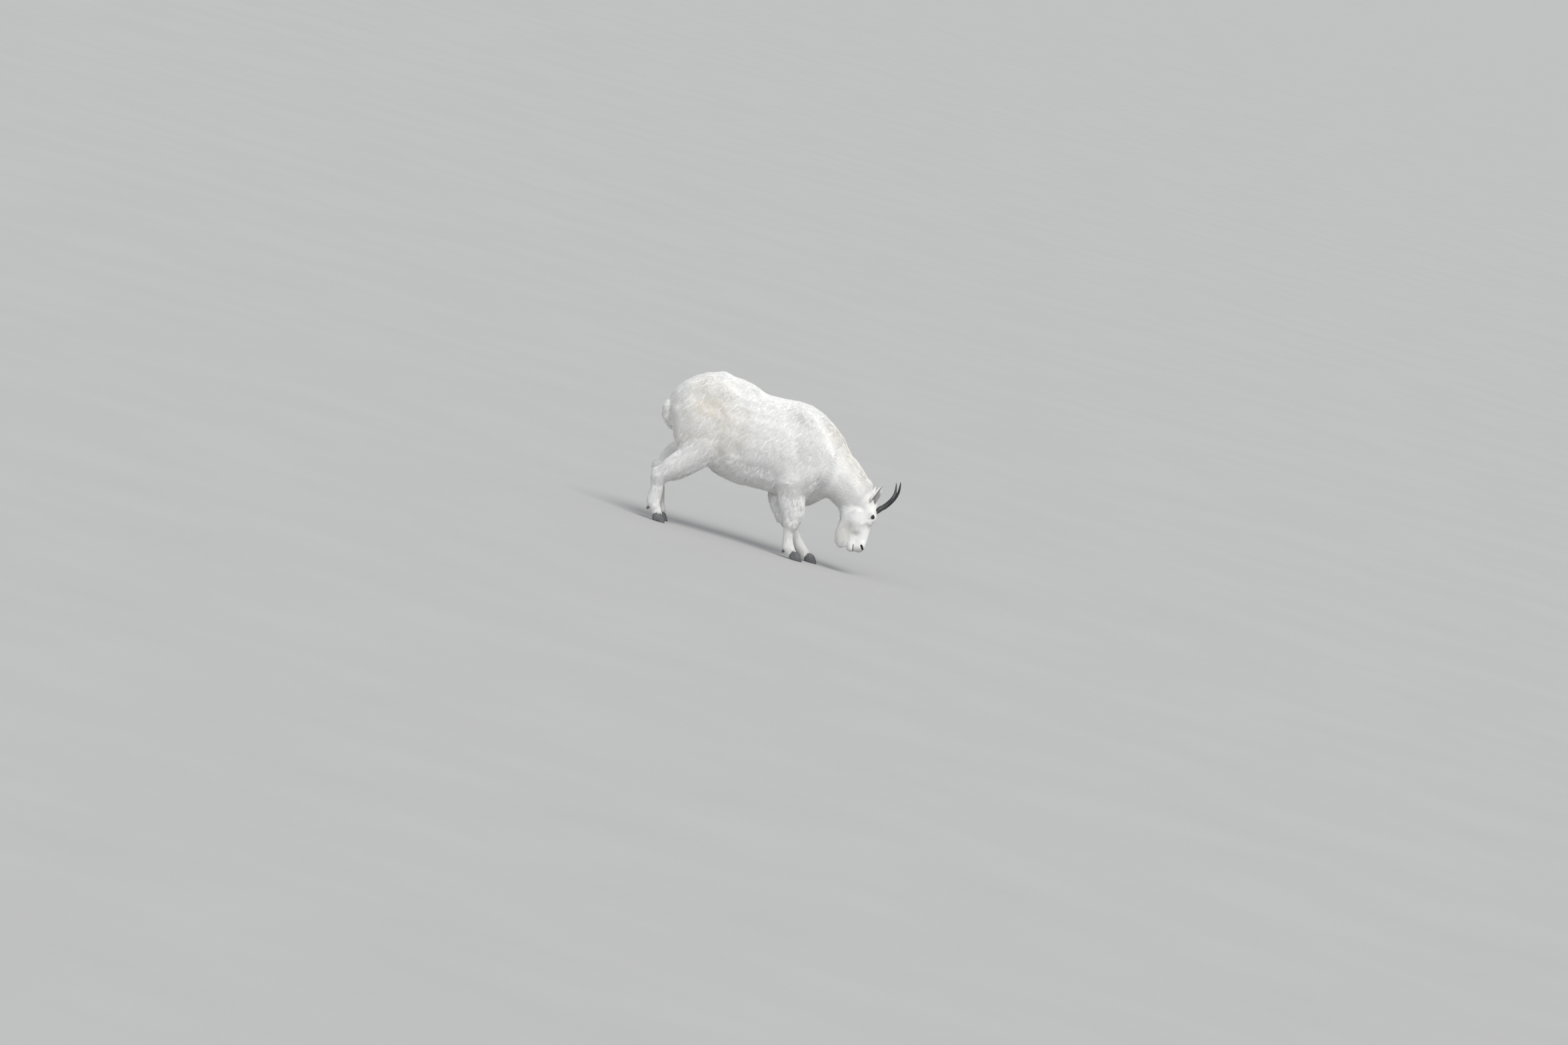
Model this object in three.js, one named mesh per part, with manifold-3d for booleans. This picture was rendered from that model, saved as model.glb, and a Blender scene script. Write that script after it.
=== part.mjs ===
// A life-size mountain goat that stands with its head down to graze, in millimetres.
// +X runs towards the head, +Y to the goat's left and +Z up. The origin is on the floor,
// under the middle of the goat's bounding box.
//
// The goat stands along a slope. Its places are written in the frame of that view, where x runs level
// towards the head, z is up and the point (0, 0) is under the right hind foot. stand() turns
// them so that the slope becomes the level floor.
//
// The flesh is a field: smooth tubes with oval sections, blended into each other, whose zero
// surface is the tips of the coat. Each part of the body is a mesh of that surface, cut off
// by flat cuts where it meets the next part.
import * as THREE from "three";
import { SimplifyModifier } from "three/addons/modifiers/SimplifyModifier.js";
import { mergeVertices } from "three/addons/utils/BufferGeometryUtils.js";
import Module from "manifold-3d";

const wasm = await Module();
wasm.setup();

// Driving dimensions
const SLOPE = THREE.MathUtils.degToRad(16); // fall of the ground from the hind feet to the forefeet
const HEAD_TURN = THREE.MathUtils.degToRad(12); // turn of the head to the goat's left
const HEAD_TILT = THREE.MathUtils.degToRad(6); // tilt of its left side downwards
const GAP = 0.35; // clearance between touching pieces
const EYE_RADIUS = 15;
const EYE_SHOWS = 7; // how far the eye stands out of the face
const HORN_BASE_RADIUS = 17;
const CLAW_LENGTH = 78; // each foot has two claws, side by side
const CLAW_WIDTH = 33;
const CLAW_HEIGHT = 50;
const CLAW_SPREAD = 18.5; // from the middle of the foot to the middle of a claw
const EAR_LENGTH = 138;
const EAR_WALL = 7;
const RIGHT = -1;
const LEFT = 1;

// Places

const DOWNHILL = new THREE.Vector3(0, -1, 0);

// A point of the sloping view as a point over the level floor.
function stand(x, y, z) {
  return new THREE.Vector3(x, y, z).applyAxisAngle(DOWNHILL, SLOPE);
}

// The head's own tilt, about its level line through the right eye, and its turn, about an upright axis
// of the view through the poll.
const POLL = { x: 1207, z: 121 };
const RIGHT_EYE = { y: -54, z: 19 };
function onHead(x, y, z) {
  const turned = new THREE.Vector3(x - POLL.x, y - RIGHT_EYE.y, z - RIGHT_EYE.z)
    .applyAxisAngle(new THREE.Vector3(1, 0, 0), -HEAD_TILT)
    .add(new THREE.Vector3(0, RIGHT_EYE.y, 0))
    .applyAxisAngle(new THREE.Vector3(0, 0, 1), HEAD_TURN);
  return stand(turned.x + POLL.x, turned.y, turned.z + RIGHT_EYE.z);
}

// Tubes of flesh

// A tube from stations [x, z, half depth, half width, y, egg]. Depth is measured in the plane of the side
// view and width across it. A positive egg narrows the side that faces up on the trunk, or
// forwards on a leg. cap is how far the tube's round ends reach past its first and last stations.
function tube(stations, { place = stand, cap = [30, 30], blend = 30, fine = 4 } = {}) {
  const centres = new THREE.CatmullRomCurve3(stations.map(([x, z, , , y = 0]) => place(x, y, z)));
  const sizes = new THREE.CatmullRomCurve3(
    stations.map(([, , depth, width, , egg = 0]) => new THREE.Vector3(depth, width, egg * 100)),
  );
  const steps = (stations.length - 1) * fine;
  const segments = [];
  for (let i = 0; i < steps; i++) {
    const a = centres.getPoint(i / steps);
    const b = centres.getPoint((i + 1) / steps);
    const along = b.clone().sub(a);
    const length = along.length();
    along.divideScalar(length);
    const side = new THREE.Vector3(0, 1, 0).addScaledVector(along, -along.y).normalize();
    segments.push({
      a,
      b,
      along,
      length,
      side,
      up: along.clone().cross(side),
      from: sizes.getPoint(i / steps),
      to: sizes.getPoint((i + 1) / steps),
      capFrom: i === 0 ? cap[0] : 0,
      capTo: i === steps - 1 ? cap[1] : 0,
    });
  }
  return { segments, blend };
}

// About how far a point is outside a segment's oval tube, or inside it where negative.
function outsideSegment(px, py, pz, s) {
  const rx = px - s.a.x;
  const ry = py - s.a.y;
  const rz = pz - s.a.z;
  const reach = rx * s.along.x + ry * s.along.y + rz * s.along.z;
  const t = Math.min(1, Math.max(0, reach / s.length));
  const vx = rx - s.along.x * t * s.length;
  const vy = ry - s.along.y * t * s.length;
  const vz = rz - s.along.z * t * s.length;
  const depth = s.from.x + (s.to.x - s.from.x) * t;
  const width = s.from.y + (s.to.y - s.from.y) * t;
  const egg = (s.from.z + (s.to.z - s.from.z) * t) / 100;
  const up = (vx * s.up.x + vy * s.up.y + vz * s.up.z) / depth;
  const narrowed = width * (1 - egg * Math.min(1, Math.max(-1, up)));
  const side = (vx * s.side.x + vy * s.side.y + vz * s.side.z) / narrowed;
  const past = reach - t * s.length;
  const cap = (past < 0 ? s.capFrom : s.capTo) || Math.min(depth, width);
  const share = Math.hypot(up, side, past / cap);
  const far = Math.hypot(vx, vy, vz);
  return share > 1e-6 ? far * (1 - 1 / share) : -Math.min(depth, width);
}

function outsideTube(px, py, pz, { segments }) {
  let least = Infinity;
  for (const s of segments) least = Math.min(least, outsideSegment(px, py, pz, s));
  return least;
}

function blended(a, b, reach) {
  const share = Math.max(reach - Math.abs(a - b), 0) / reach;
  return Math.min(a, b) - (share * share * reach) / 4;
}

// The body, region by region

const trunk = tube(
  [
    [205, 640, 196, 112, 0, 0.1],
    [285, 615, 246, 136, 0, 0.14],
    [407, 581, 270, 150, 0, 0.2],
    [531, 494, 276, 162, 0, 0.16],
    [685, 450, 273, 158, 0, 0.2],
    [807, 414, 280, 142, 0, 0.3],
    [948, 330, 234, 114, 0, 0.3],
    [1076, 254, 140, 84, 0, 0.2],
    [1150, 168, 122, 68, 0, 0.15],
    [1200, 128, 108, 60, 0, 0.1],
  ],
  { cap: [100, 40], blend: 40 },
);

const croup = tube(
  [
    [116, 698, 48, 46],
    [158, 732, 66, 62],
    [262, 763, 88, 84],
    [380, 748, 118, 104],
  ],
  { cap: [52, 60], blend: 60 },
);

const brisket = tube(
  [
    [800, 210, 78, 62],
    [868, 168, 84, 66],
    [940, 186, 66, 58],
  ],
  { cap: [60, 40], blend: 44 },
);

const tail = tube(
  [
    [116, 716, 34, 38],
    [78, 678, 35, 36],
    [65, 636, 32, 30],
    [74, 596, 20, 19],
    [85, 562, 10, 10],
  ],
  { cap: [20, 10], blend: 16 },
);

const skull = [
  tube(
    [
      [1232, 130, 60, 54],
      [1236, 69, 61, 60],
      [1230, 16, 55, 57],
      [1218, -10, 49, 51, 0, 0.05],
      [1208, -41, 45, 43, 0, 0.1],
      [1196, -96, 41, 37, 0, 0.1],
      [1184, -141, 36, 36, 0, 0.05],
      [1180, -158, 30, 33],
    ],
    { place: onHead, cap: [30, 18], blend: 30 },
  ),
  tube(
    [
      [1140, 61, 60, 46],
      [1134, -4, 60, 45, 0, -0.1],
      [1130, -58, 48, 35, 0, -0.1],
      [1133, -118, 30, 28],
      [1132, -157, 23, 25],
    ],
    { place: onHead, cap: [30, 22], blend: 26 },
  ),
  tube(
    [
      [1098, -20, 28, 22],
      [1082, -64, 34, 20],
      [1077, -106, 33, 18],
      [1077, -140, 22, 12],
    ],
    { place: onHead, cap: [20, 16], blend: 20 },
  ),
];

// Brow, cheek and nostril swellings, the same on both sides of the head.
const faceSwellings = [RIGHT, LEFT].flatMap((side) => [
  tube(
    [
      [1252, 48, 20, 15, side * 46],
      [1260, 12, 19, 14, side * 48],
      [1240, -18, 15, 12, side * 42],
    ],
    { place: onHead, cap: [12, 12], blend: 16 },
  ),
  tube(
    [
      [1170, 42, 36, 20, side * 38],
      [1162, -11, 36, 20, side * 38],
      [1164, -53, 26, 16, side * 30],
    ],
    { place: onHead, cap: [20, 16], blend: 22 },
  ),
  tube(
    [
      [1201, -134, 17, 15, side * 22],
      [1189, -158, 18, 15, side * 22],
    ],
    { place: onHead, cap: [12, 12], blend: 14 },
  ),
]);

// One tube over the shoulder blade, one over the upper arm, and one from the elbow to the hoof.
const shoulder = (side, elbow) => [
  tube(
    [
      [842, 616, 62, 38, side * 54],
      [897, 484, 84, 42, side * 82],
      [948, 363, 92, 43, side * 94],
      [955, 288, 74, 42, side * 92],
    ],
    { cap: [40, 40], blend: 46 },
  ),
  tube(
    [
      [948, 295, 74, 44, side * 92],
      [869, 258, 88, 47, side * 96],
      elbow,
    ],
    { cap: [40, 40], blend: 40 },
  ),
];

const rightForeleg = [
  ...shoulder(RIGHT, [794, 240, 82, 49, -97]),
  tube(
    [
      [790, 234, 82, 52, -99],
      [793, 168, 80, 49, -96],
      [797, 105, 77, 45, -92],
      [800, 47, 66, 40, -88],
      [793, -6, 49, 35, -85],
      [784, -36, 41, 32, -83],
      [773, -64, 31, 26, -82],
      [770, -100, 31, 25, -80],
      [769, -131, 34, 27, -80],
      [771, -160, 37, 30, -79],
      [790, -196, 31, 29, -79],
      [810, -224, 30, 32, -79],
    ],
    { cap: [40, 14], blend: 34 },
  ),
];

const leftForeleg = [
  ...shoulder(LEFT, [745, 232, 78, 47, 96]),
  tube(
    [
      [720, 215, 70, 50, 96],
      [714, 150, 62, 47, 94],
      [727, 95, 61, 43, 90],
      [746, 32, 52, 38, 87],
      [770, -22, 45, 34, 84],
      [798, -58, 34, 28, 82],
      [812, -94, 29, 25, 80],
      [823, -130, 31, 27, 80],
      [836, -164, 35, 30, 79],
      [860, -198, 31, 29, 79],
      [884, -228, 30, 32, 79],
    ],
    { cap: [40, 14], blend: 34 },
  ),
];

// Thigh, gaskin down to the hock, the point of the hock, and the cannon with its pastern.
function hindleg(side, { thigh, gaskin, hock, cannon }) {
  const onSide = (stations) => stations.map(([x, z, depth, width, y]) => [x, z, depth, width, side * y]);
  return [
    tube(onSide(thigh), { cap: [50, 60], blend: 50 }),
    tube(onSide(gaskin), { cap: [70, 26], blend: 34 }),
    tube(onSide(hock), { cap: [16, 14], blend: 16 }),
    tube(onSide(cannon), { cap: [20, 12], blend: 26 }),
  ];
}

const rightHindleg = hindleg(RIGHT, {
  thigh: [
    [206, 652, 112, 54, 60],
    [232, 550, 134, 58, 78],
    [262, 457, 126, 57, 90],
  ],
  gaskin: [
    [300, 420, 80, 52, 98],
    [200, 372, 84, 50, 99],
    [146, 344, 76, 46, 98],
    [90, 311, 68, 42, 98],
    [36, 279, 55, 36, 93],
    [8, 258, 43, 31, 90],
  ],
  hock: [
    [14, 294, 28, 24, 90],
    [-8, 306, 17, 17, 89],
  ],
  cannon: [
    [8, 270, 42, 31, 91],
    [5, 232, 41, 30, 89],
    [2, 196, 40, 29, 88],
    [-10, 158, 41, 29, 87],
    [-20, 120, 42, 31, 86],
    [-18, 94, 38, 31, 86],
    [-7, 68, 31, 30, 86],
    [1, 44, 31, 33, 86],
  ],
});

const leftHindleg = hindleg(LEFT, {
  thigh: [
    [206, 652, 112, 54, 60],
    [226, 560, 130, 58, 78],
    [248, 478, 122, 57, 90],
  ],
  gaskin: [
    [280, 450, 80, 52, 98],
    [180, 420, 80, 50, 99],
    [110, 384, 70, 45, 98],
    [52, 342, 56, 38, 94],
    [18, 312, 43, 31, 90],
  ],
  hock: [
    [12, 338, 28, 24, 90],
    [-6, 352, 18, 17, 89],
  ],
  cannon: [
    [8, 318, 42, 31, 91],
    [2, 275, 41, 30, 89],
    [3, 232, 39, 29, 88],
    [5, 184, 38, 28, 87],
    [4, 140, 38, 29, 86],
    [3, 108, 39, 31, 86],
    [10, 78, 32, 30, 86],
    [19, 48, 31, 33, 86],
  ],
});

const flesh = [
  trunk,
  croup,
  brisket,
  ...rightForeleg,
  ...leftForeleg,
  ...rightHindleg,
  ...leftHindleg,
  ...skull,
  ...faceSwellings,
];

function outsideBody(x, y, z) {
  let least = outsideTube(x, y, z, flesh[0]);
  for (const part of flesh.slice(1)) least = blended(least, outsideTube(x, y, z, part), part.blend);
  return least;
}

const outsideTail = (x, y, z) => outsideTube(x, y, z, tail);

// Meshes and solids

// The zero surface of a field inside a box, as a mesh of quads cut in two, then thinned out to the most
// triangles that are given. A grid cell that the surface crosses has one point for each group of its inside
// corners, moved onto the surface.
const CORNERS = [0, 1, 2, 3, 4, 5, 6, 7].map((c) => [c & 1, (c >> 1) & 1, c >> 2]);
const CELL_EDGES = CORNERS.flatMap((_, c) => [1, 2, 4].filter((bit) => !(c & bit)).map((bit) => [c, c | bit]));

// For each corner of a cell, the first of the inside corners that it is joined to along the edges.
function insideGroups(inside) {
  const group = CORNERS.map((_, c) => c);
  for (let turn = 0; turn < 3; turn++)
    for (const [c, d] of CELL_EDGES)
      if (inside[c] && inside[d]) group[c] = group[d] = Math.min(group[c], group[d]);
  return group;
}

async function surfaceOf(outside, [low, high], cell, most) {
  const [nx, ny, nz] = ["x", "y", "z"].map((k) => Math.ceil((high[k] - low[k]) / cell[k]) + 1);
  const at = (i, j, k) => i + nx * (j + ny * k);
  const place = (i, j, k) => [low.x + i * cell.x, low.y + j * cell.y, low.z + k * cell.z];
  const value = new Float64Array(nx * ny * nz);
  for (let k = 0; k < nz; k++)
    for (let j = 0; j < ny; j++)
      for (let i = 0; i < nx; i++) {
        const edge = i === 0 || j === 0 || k === 0 || i === nx - 1 || j === ny - 1 || k === nz - 1;
        const v = outside(...place(i, j, k));
        value[at(i, j, k)] = edge ? Math.max(v, 1) : v;
      }

  const points = [];
  const pointOf = new Map();
  for (let k = 0; k < nz - 1; k++)
    for (let j = 0; j < ny - 1; j++)
      for (let i = 0; i < nx - 1; i++) {
        const values = CORNERS.map(([a, b, c]) => value[at(i + a, j + b, k + c)]);
        const inside = values.map((v) => v < 0);
        if (inside.every((v) => v === inside[0])) continue;
        const group = insideGroups(inside);
        for (const first of new Set(group.filter((_, c) => inside[c]))) {
          const sum = [0, 0, 0];
          let crossed = 0;
          for (const [c, d] of CELL_EDGES) {
            if (inside[c] === inside[d] || group[inside[c] ? c : d] !== first) continue;
            const t = values[c] / (values[c] - values[d]);
            crossed++;
            for (let m = 0; m < 3; m++) sum[m] += CORNERS[c][m] + (CORNERS[d][m] - CORNERS[c][m]) * t;
          }
          if (!crossed) continue;
          for (let c = 0; c < 8; c++)
            if (inside[c] && group[c] === first) pointOf.set(at(i, j, k) * 8 + c, points.length);
          const rim = i === 0 || j === 0 || k === 0 || i === nx - 2 || j === ny - 2 || k === nz - 2;
          const middle = place(...sum.map((v, m) => [i, j, k][m] + v / crossed));
          points.push(rim ? middle : ontoSurface(outside, middle, cell));
        }
      }

  const triangles = [];
  const gap = (m, n) => Math.hypot(...points[m].map((v, axis) => v - points[n][axis]));
  // The quad round the grid edge that leaves a corner along one axis, from the four cells that share the edge.
  const addQuad = (corner, axis) => {
    const ahead = corner.map((v, m) => v + (m === axis ? 1 : 0));
    const inside = value[at(...corner)] < 0;
    if (inside === value[at(...ahead)] < 0) return;
    const inner = inside ? corner : ahead;
    const [u, v] = [(axis + 1) % 3, (axis + 2) % 3];
    const [p, q, r, s] = [
      [-1, -1],
      [0, -1],
      [0, 0],
      [-1, 0],
    ].map(([du, dv]) => {
      const own = corner.slice();
      own[u] += du;
      own[v] += dv;
      const [a, b, c] = own.map((n, m) => inner[m] - n);
      return pointOf.get(at(...own) * 8 + a + 2 * b + 4 * c);
    });
    const halves = gap(p, r) < gap(q, s) ? [p, q, r, p, r, s] : [p, q, s, q, r, s];
    triangles.push(...(inside ? halves : halves.reverse()));
  };
  for (let k = 0; k < nz - 1; k++)
    for (let j = 0; j < ny - 1; j++)
      for (let i = 0; i < nx - 1; i++) for (let axis = 0; axis < 3; axis++) addQuad([i, j, k], axis);
  const geometry = new THREE.BufferGeometry();
  geometry.setAttribute("position", new THREE.Float32BufferAttribute(points.flat(), 3));
  geometry.setIndex(new THREE.Uint32BufferAttribute(triangles, 1));
  return solidOf(await new SimplifyModifier().modify(geometry, points.length - most / 2));
}

// A point moved along the field's slope to where the field is zero, by no more than half a cell.
function ontoSurface(outside, point, cell) {
  const step = 1;
  const most = Math.min(cell.x, cell.y, cell.z) / 2;
  let [x, y, z] = point;
  for (let turn = 0; turn < 3; turn++) {
    const here = outside(x, y, z);
    const slope = [outside(x + step, y, z) - here, outside(x, y + step, z) - here, outside(x, y, z + step) - here];
    const steep = slope[0] ** 2 + slope[1] ** 2 + slope[2] ** 2;
    if (steep < 1e-4) break;
    x -= (here * slope[0]) / steep;
    y -= (here * slope[1]) / steep;
    z -= (here * slope[2]) / steep;
  }
  const moved = Math.hypot(x - point[0], y - point[1], z - point[2]);
  return moved < most ? [x, y, z] : point;
}

function solidOf(geometry) {
  const bare = geometry.clone();
  bare.deleteAttribute("normal");
  bare.deleteAttribute("uv");
  const merged = mergeVertices(bare, 1e-3);
  return new wasm.Manifold(
    new wasm.Mesh({
      numProp: 3,
      vertProperties: merged.attributes.position.array,
      triVerts: new Uint32Array(merged.index.array),
    }),
  );
}

// A solid's largest body: a cut may leave crumbs of the neighbouring part.
const largest = (solid) => solid.decompose().sort((a, b) => b.volume() - a.volume())[0];

// A closed tube with round sections along a curve; ring(t, angle) gives each point's offset along the two
// directions across the curve.
function sweep(curve, side, rings, sides, ring) {
  const positions = [];
  const index = [];
  const tangent = new THREE.Vector3();
  for (let i = 0; i <= rings; i++) {
    const t = i / rings;
    const centre = curve.getPoint(t);
    curve.getTangent(t, tangent);
    const across = side.clone().addScaledVector(tangent, -side.dot(tangent)).normalize();
    const over = across.clone().cross(tangent);
    for (let j = 0; j < sides; j++) {
      const [u, v] = ring(t, (j / sides) * Math.PI * 2, j);
      positions.push(...centre.clone().addScaledVector(across, u).addScaledVector(over, v).toArray());
    }
  }
  const last = rings * sides;
  for (let i = 0; i < rings; i++)
    for (let j = 0; j < sides; j++) {
      const a = i * sides + j;
      const b = i * sides + ((j + 1) % sides);
      index.push(a, b, a + sides, b, b + sides, a + sides);
    }
  for (let j = 1; j < sides - 1; j++) index.push(0, j + 1, j, last, last + j, last + j + 1);
  const geometry = new THREE.BufferGeometry();
  geometry.setAttribute("position", new THREE.Float32BufferAttribute(positions, 3));
  geometry.setIndex(index);
  const solid = solidOf(geometry);
  if (solid.volume() > 0) return solid;
  for (let i = 0; i < index.length; i += 3) [index[i + 1], index[i + 2]] = [index[i + 2], index[i + 1]];
  geometry.setIndex(index);
  return solidOf(geometry);
}

// Horns, ears, eyes, claws and dewclaws

function horn(side, grow = 0) {
  const line = new THREE.CatmullRomCurve3(
    [
      [1285, 22, 46],
      [1309, 23, 66],
      [1339, 27, 79],
      [1373, 33, 105],
      [1398, 39, 130],
      [1416, 50, 160],
      [1425, 57, 194],
      [1427, 67, 224],
    ].map(([x, y, z]) => onHead(x, side * y, z)),
  );
  const radius = (t) => (HORN_BASE_RADIUS - 2) * (1 - t) ** 0.72 + 2 + grow;
  return sweep(line, new THREE.Vector3(0, 1, 0), 11, 8, (t, angle) => [
    radius(t) * 0.9 * Math.cos(angle),
    radius(t) * Math.sin(angle),
  ]);
}

// A leaf-shaped shell, rolled round its length and open to the side.
function ear(side) {
  const base = onHead(1241, side * 44, 97);
  const tip = side === RIGHT ? onHead(1321, -78, 211) : onHead(1308, 92, 198);
  const along = tip.clone().sub(base).normalize();
  const middle = base.clone().lerp(tip, 0.5).addScaledVector(onHead(POLL.x, side, 0).sub(onHead(POLL.x, 0, 0)), 7);
  const end = base.clone().addScaledVector(along, EAR_LENGTH);
  const line = new THREE.CatmullRomCurve3([base.clone().addScaledVector(along, -14), middle, end]);
  const open = onHead(POLL.x + 0.55, side, -0.35).sub(onHead(POLL.x, 0, 0)).normalize();
  const half = 5;
  return sweep(line, open, 7, half * 2, (t, _, j) => {
    const leaf = 30 * Math.sin(Math.PI * Math.min(1, 0.3 + 0.7 * t)) ** 0.8 * (1 - t ** 6) + 2.5;
    const outer = j < half;
    const share = (outer ? j : half * 2 - 1 - j) / (half - 1);
    const arc = (share - 0.5) * Math.PI * 1.25;
    const wall = EAR_WALL * (1 - 0.45 * t) * (share > 0.02 && share < 0.98 ? 1 : 0.5);
    const radius = outer ? leaf * 0.62 : leaf * 0.62 - wall;
    return [leaf * 0.25 - radius * Math.cos(arc), radius * 1.15 * Math.sin(arc)];
  });
}

function eye(side, grow = 0) {
  let out = 80;
  const at = () => onHead(1256, side * out, 19);
  while (outsideBody(...at().toArray()) > EYE_SHOWS - EYE_RADIUS) out -= 0.5;
  return solidOf(new THREE.SphereGeometry(EYE_RADIUS + grow, 12, 8).translate(...at().toArray()));
}

// A claw: a turned bell, drawn out towards the toe, leaning back from it, with a flat sole.
function claw(x, y, side, grow = 0) {
  const profile = [
    [0, 0],
    [0.47, 0],
    [0.5, 0.16],
    [0.44, 0.6],
    [0.36, 0.88],
    [0.22, 1],
    [0, 1],
  ].map(([r, h]) => new THREE.Vector2(r * CLAW_LENGTH + (r ? grow : 0), h ? h * CLAW_HEIGHT + grow : -grow));
  const shape = new THREE.LatheGeometry(profile, 12).rotateX(Math.PI / 2);
  const spots = shape.attributes.position;
  for (let i = 0; i < spots.count; i++) {
    const [px, py, pz] = [spots.getX(i), spots.getY(i), spots.getZ(i)];
    const toe = Math.max(0, px / (CLAW_LENGTH / 2));
    const inner = py * side < 0 ? 0.85 : 1;
    const wide = (CLAW_WIDTH / CLAW_LENGTH) * (1 - 0.35 * toe * toe) * inner;
    spots.setXYZ(i, px - pz * 0.42 + 8, py * wide - side * toe * 3, pz);
  }
  return solidOf(shape.translate(x, y + side * CLAW_SPREAD, 0));
}

function dewclaw(at, side, grow = 0) {
  const profile = [
    [0, -12],
    [9 + grow, -12],
    [9 + grow, 2],
    [5 + grow, 11 + grow],
    [0, 14 + grow],
  ].map(([r, h]) => new THREE.Vector2(r, h));
  const down = new THREE.Vector3(-0.62, side * 0.25, -0.75).normalize();
  const turn = new THREE.Quaternion().setFromUnitVectors(new THREE.Vector3(0, 1, 0), down);
  const shape = new THREE.LatheGeometry(profile, 7).applyQuaternion(turn);
  return solidOf(shape.translate(at.x, at.y + side * 13, at.z));
}

// Where each foot stands on the floor, and the back of its fetlock and the leg's reach in the view's frame.
const feet = {
  fore_right: { x: 841, y: -79, side: RIGHT, fetlock: [744, -176], reach: [692, 890] },
  fore_left: { x: 928, y: 79, side: LEFT, fetlock: [812, -180], reach: [640, 890] },
  hind_right: { x: 4, y: -86, side: RIGHT, fetlock: [-50, 80], reach: [-120, 372] },
  hind_left: { x: 16, y: 86, side: LEFT, fetlock: [-26, 92], reach: [-120, 350] },
};

// Cuts between the parts of the body: a point on each cut and the way that the cut faces.
const headCut = { at: onHead(1193, 0, 88), facing: stand(-0.62, 0, 0.79) };
const neckCut = { at: stand(995, 0, 288), facing: stand(-0.84, 0, 0.54) };
// A leg starts under a sloping cut, inside a block of the view's frame that reaches from its foot's x0 to x1.
const legCuts = {
  fore: { at: [786, 98, 185], facing: [0.2, -0.62, 0.76] },
  hind: { at: [236, 112, 468], facing: [0.05, -0.72, 0.69] },
};

function legBlock(name, grow = 0) {
  const { side, reach } = feet[name];
  const [x0, x1] = reach;
  const { at, facing } = legCuts[name.split("_")[0]];
  const [inner, outer] = [12 - grow, 240];
  const length = x1 - x0 + 2 * grow;
  const shape = new THREE.BoxGeometry(length, outer - inner, 1100);
  shape.translate((x0 + x1) / 2, (side * (inner + outer)) / 2, 100);
  const block = solidOf(shape.applyQuaternion(new THREE.Quaternion().setFromAxisAngle(DOWNHILL, SLOPE)));
  const cut = { at: stand(at[0], side * at[1], at[2]), facing: stand(facing[0], side * facing[1], facing[2]) };
  return trim(block, turned(cut), -grow);
}

const box = (x0, x1, y0, y1, z0, z1) => [new THREE.Vector3(x0, y0, z0), new THREE.Vector3(x1, y1, z1)];
const cubes = (size, tall = size) => new THREE.Vector3(size, size, tall);
const trim = (solid, { at, facing }, sink) => {
  const way = facing.clone().normalize();
  return solid.trimByPlane(way.toArray(), way.dot(at) + sink);
};
const turned = ({ at, facing }) => ({ at, facing: facing.clone().negate() });

// A solid cut clear of its neighbour, by the neighbour moved a little each way.
function clearOf(solid, neighbour) {
  for (const way of [GAP, -GAP])
    for (const move of [
      [way, 0, 0],
      [0, way, 0],
      [0, 0, way],
    ])
      solid = solid.subtract(neighbour.translate(move));
  return solid;
}

const colours = {
  coat: { color: 0xe9e6df, roughness: 0.9 },
  horn: { color: 0x17161a, roughness: 0.45 },
  eye: { color: 0x0d0a08, roughness: 0.1 },
  hoof: { color: 0x3f4143, roughness: 0.6 },
};
const materials = Object.fromEntries(
  Object.entries(colours).map(([name, look]) => [name, new THREE.MeshStandardMaterial({ ...look, metalness: 0 })]),
);

const goat = new THREE.Group();
goat.name = "mountain_goat";

function add(name, solid, material) {
  const { vertProperties, triVerts, numProp } = solid.getMesh();
  const geometry = new THREE.BufferGeometry();
  const positions = new Float32Array((vertProperties.length / numProp) * 3);
  for (let i = 0; i < positions.length / 3; i++)
    positions.set(vertProperties.subarray(i * numProp, i * numProp + 3), i * 3);
  geometry.setAttribute("position", new THREE.BufferAttribute(positions, 3));
  geometry.setIndex(new THREE.BufferAttribute(new Uint32Array(triVerts), 1));
  geometry.computeVertexNormals();
  const mesh = new THREE.Mesh(geometry, materials[material]);
  mesh.name = name;
  goat.add(mesh);
}

// Neck
let neck = await surfaceOf(outsideBody, box(740, 1290, -200, 200, 250, 960), cubes(22), 1100);
neck = trim(trim(neck, headCut, GAP), turned(neckCut), GAP);
for (const name of Object.keys(feet)) neck = neck.subtract(legBlock(name, GAP));
neck = largest(neck);
add("neck", neck, "coat");

// Head, with its eyes, horns and ears
let head = largest(
  trim(await surfaceOf(outsideBody, box(1000, 1400, -140, 140, 90, 600), cubes(11), 1850), turned(headCut), GAP),
);
for (const [name, side] of [
  ["right", RIGHT],
  ["left", LEFT],
]) {
  add("eye_" + name, eye(side), "eye");
  head = head.subtract(eye(side, GAP));
  const earShape = largest(clearOf(clearOf(ear(side), head), neck));
  add("horn_" + name, horn(side), "horn");
  head = head.subtract(horn(side, GAP));
  add("ear_" + name, earShape, "coat");
}
add("head", largest(head), "coat");

// Trunk, less the blocks of the legs, and the tail against it
let barrel = await surfaceOf(outsideBody, box(-220, 1060, -260, 260, 150, 1020), cubes(25), 2050);
barrel = trim(barrel, neckCut, GAP);
for (const name of Object.keys(feet)) barrel = barrel.subtract(legBlock(name, GAP));
barrel = largest(barrel);
add("trunk", barrel, "coat");
const tailShape = await surfaceOf(outsideTail, box(-240, -20, -50, 50, 460, 800), cubes(14), 240);
add("tail", largest(clearOf(tailShape, barrel)), "coat");

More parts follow.
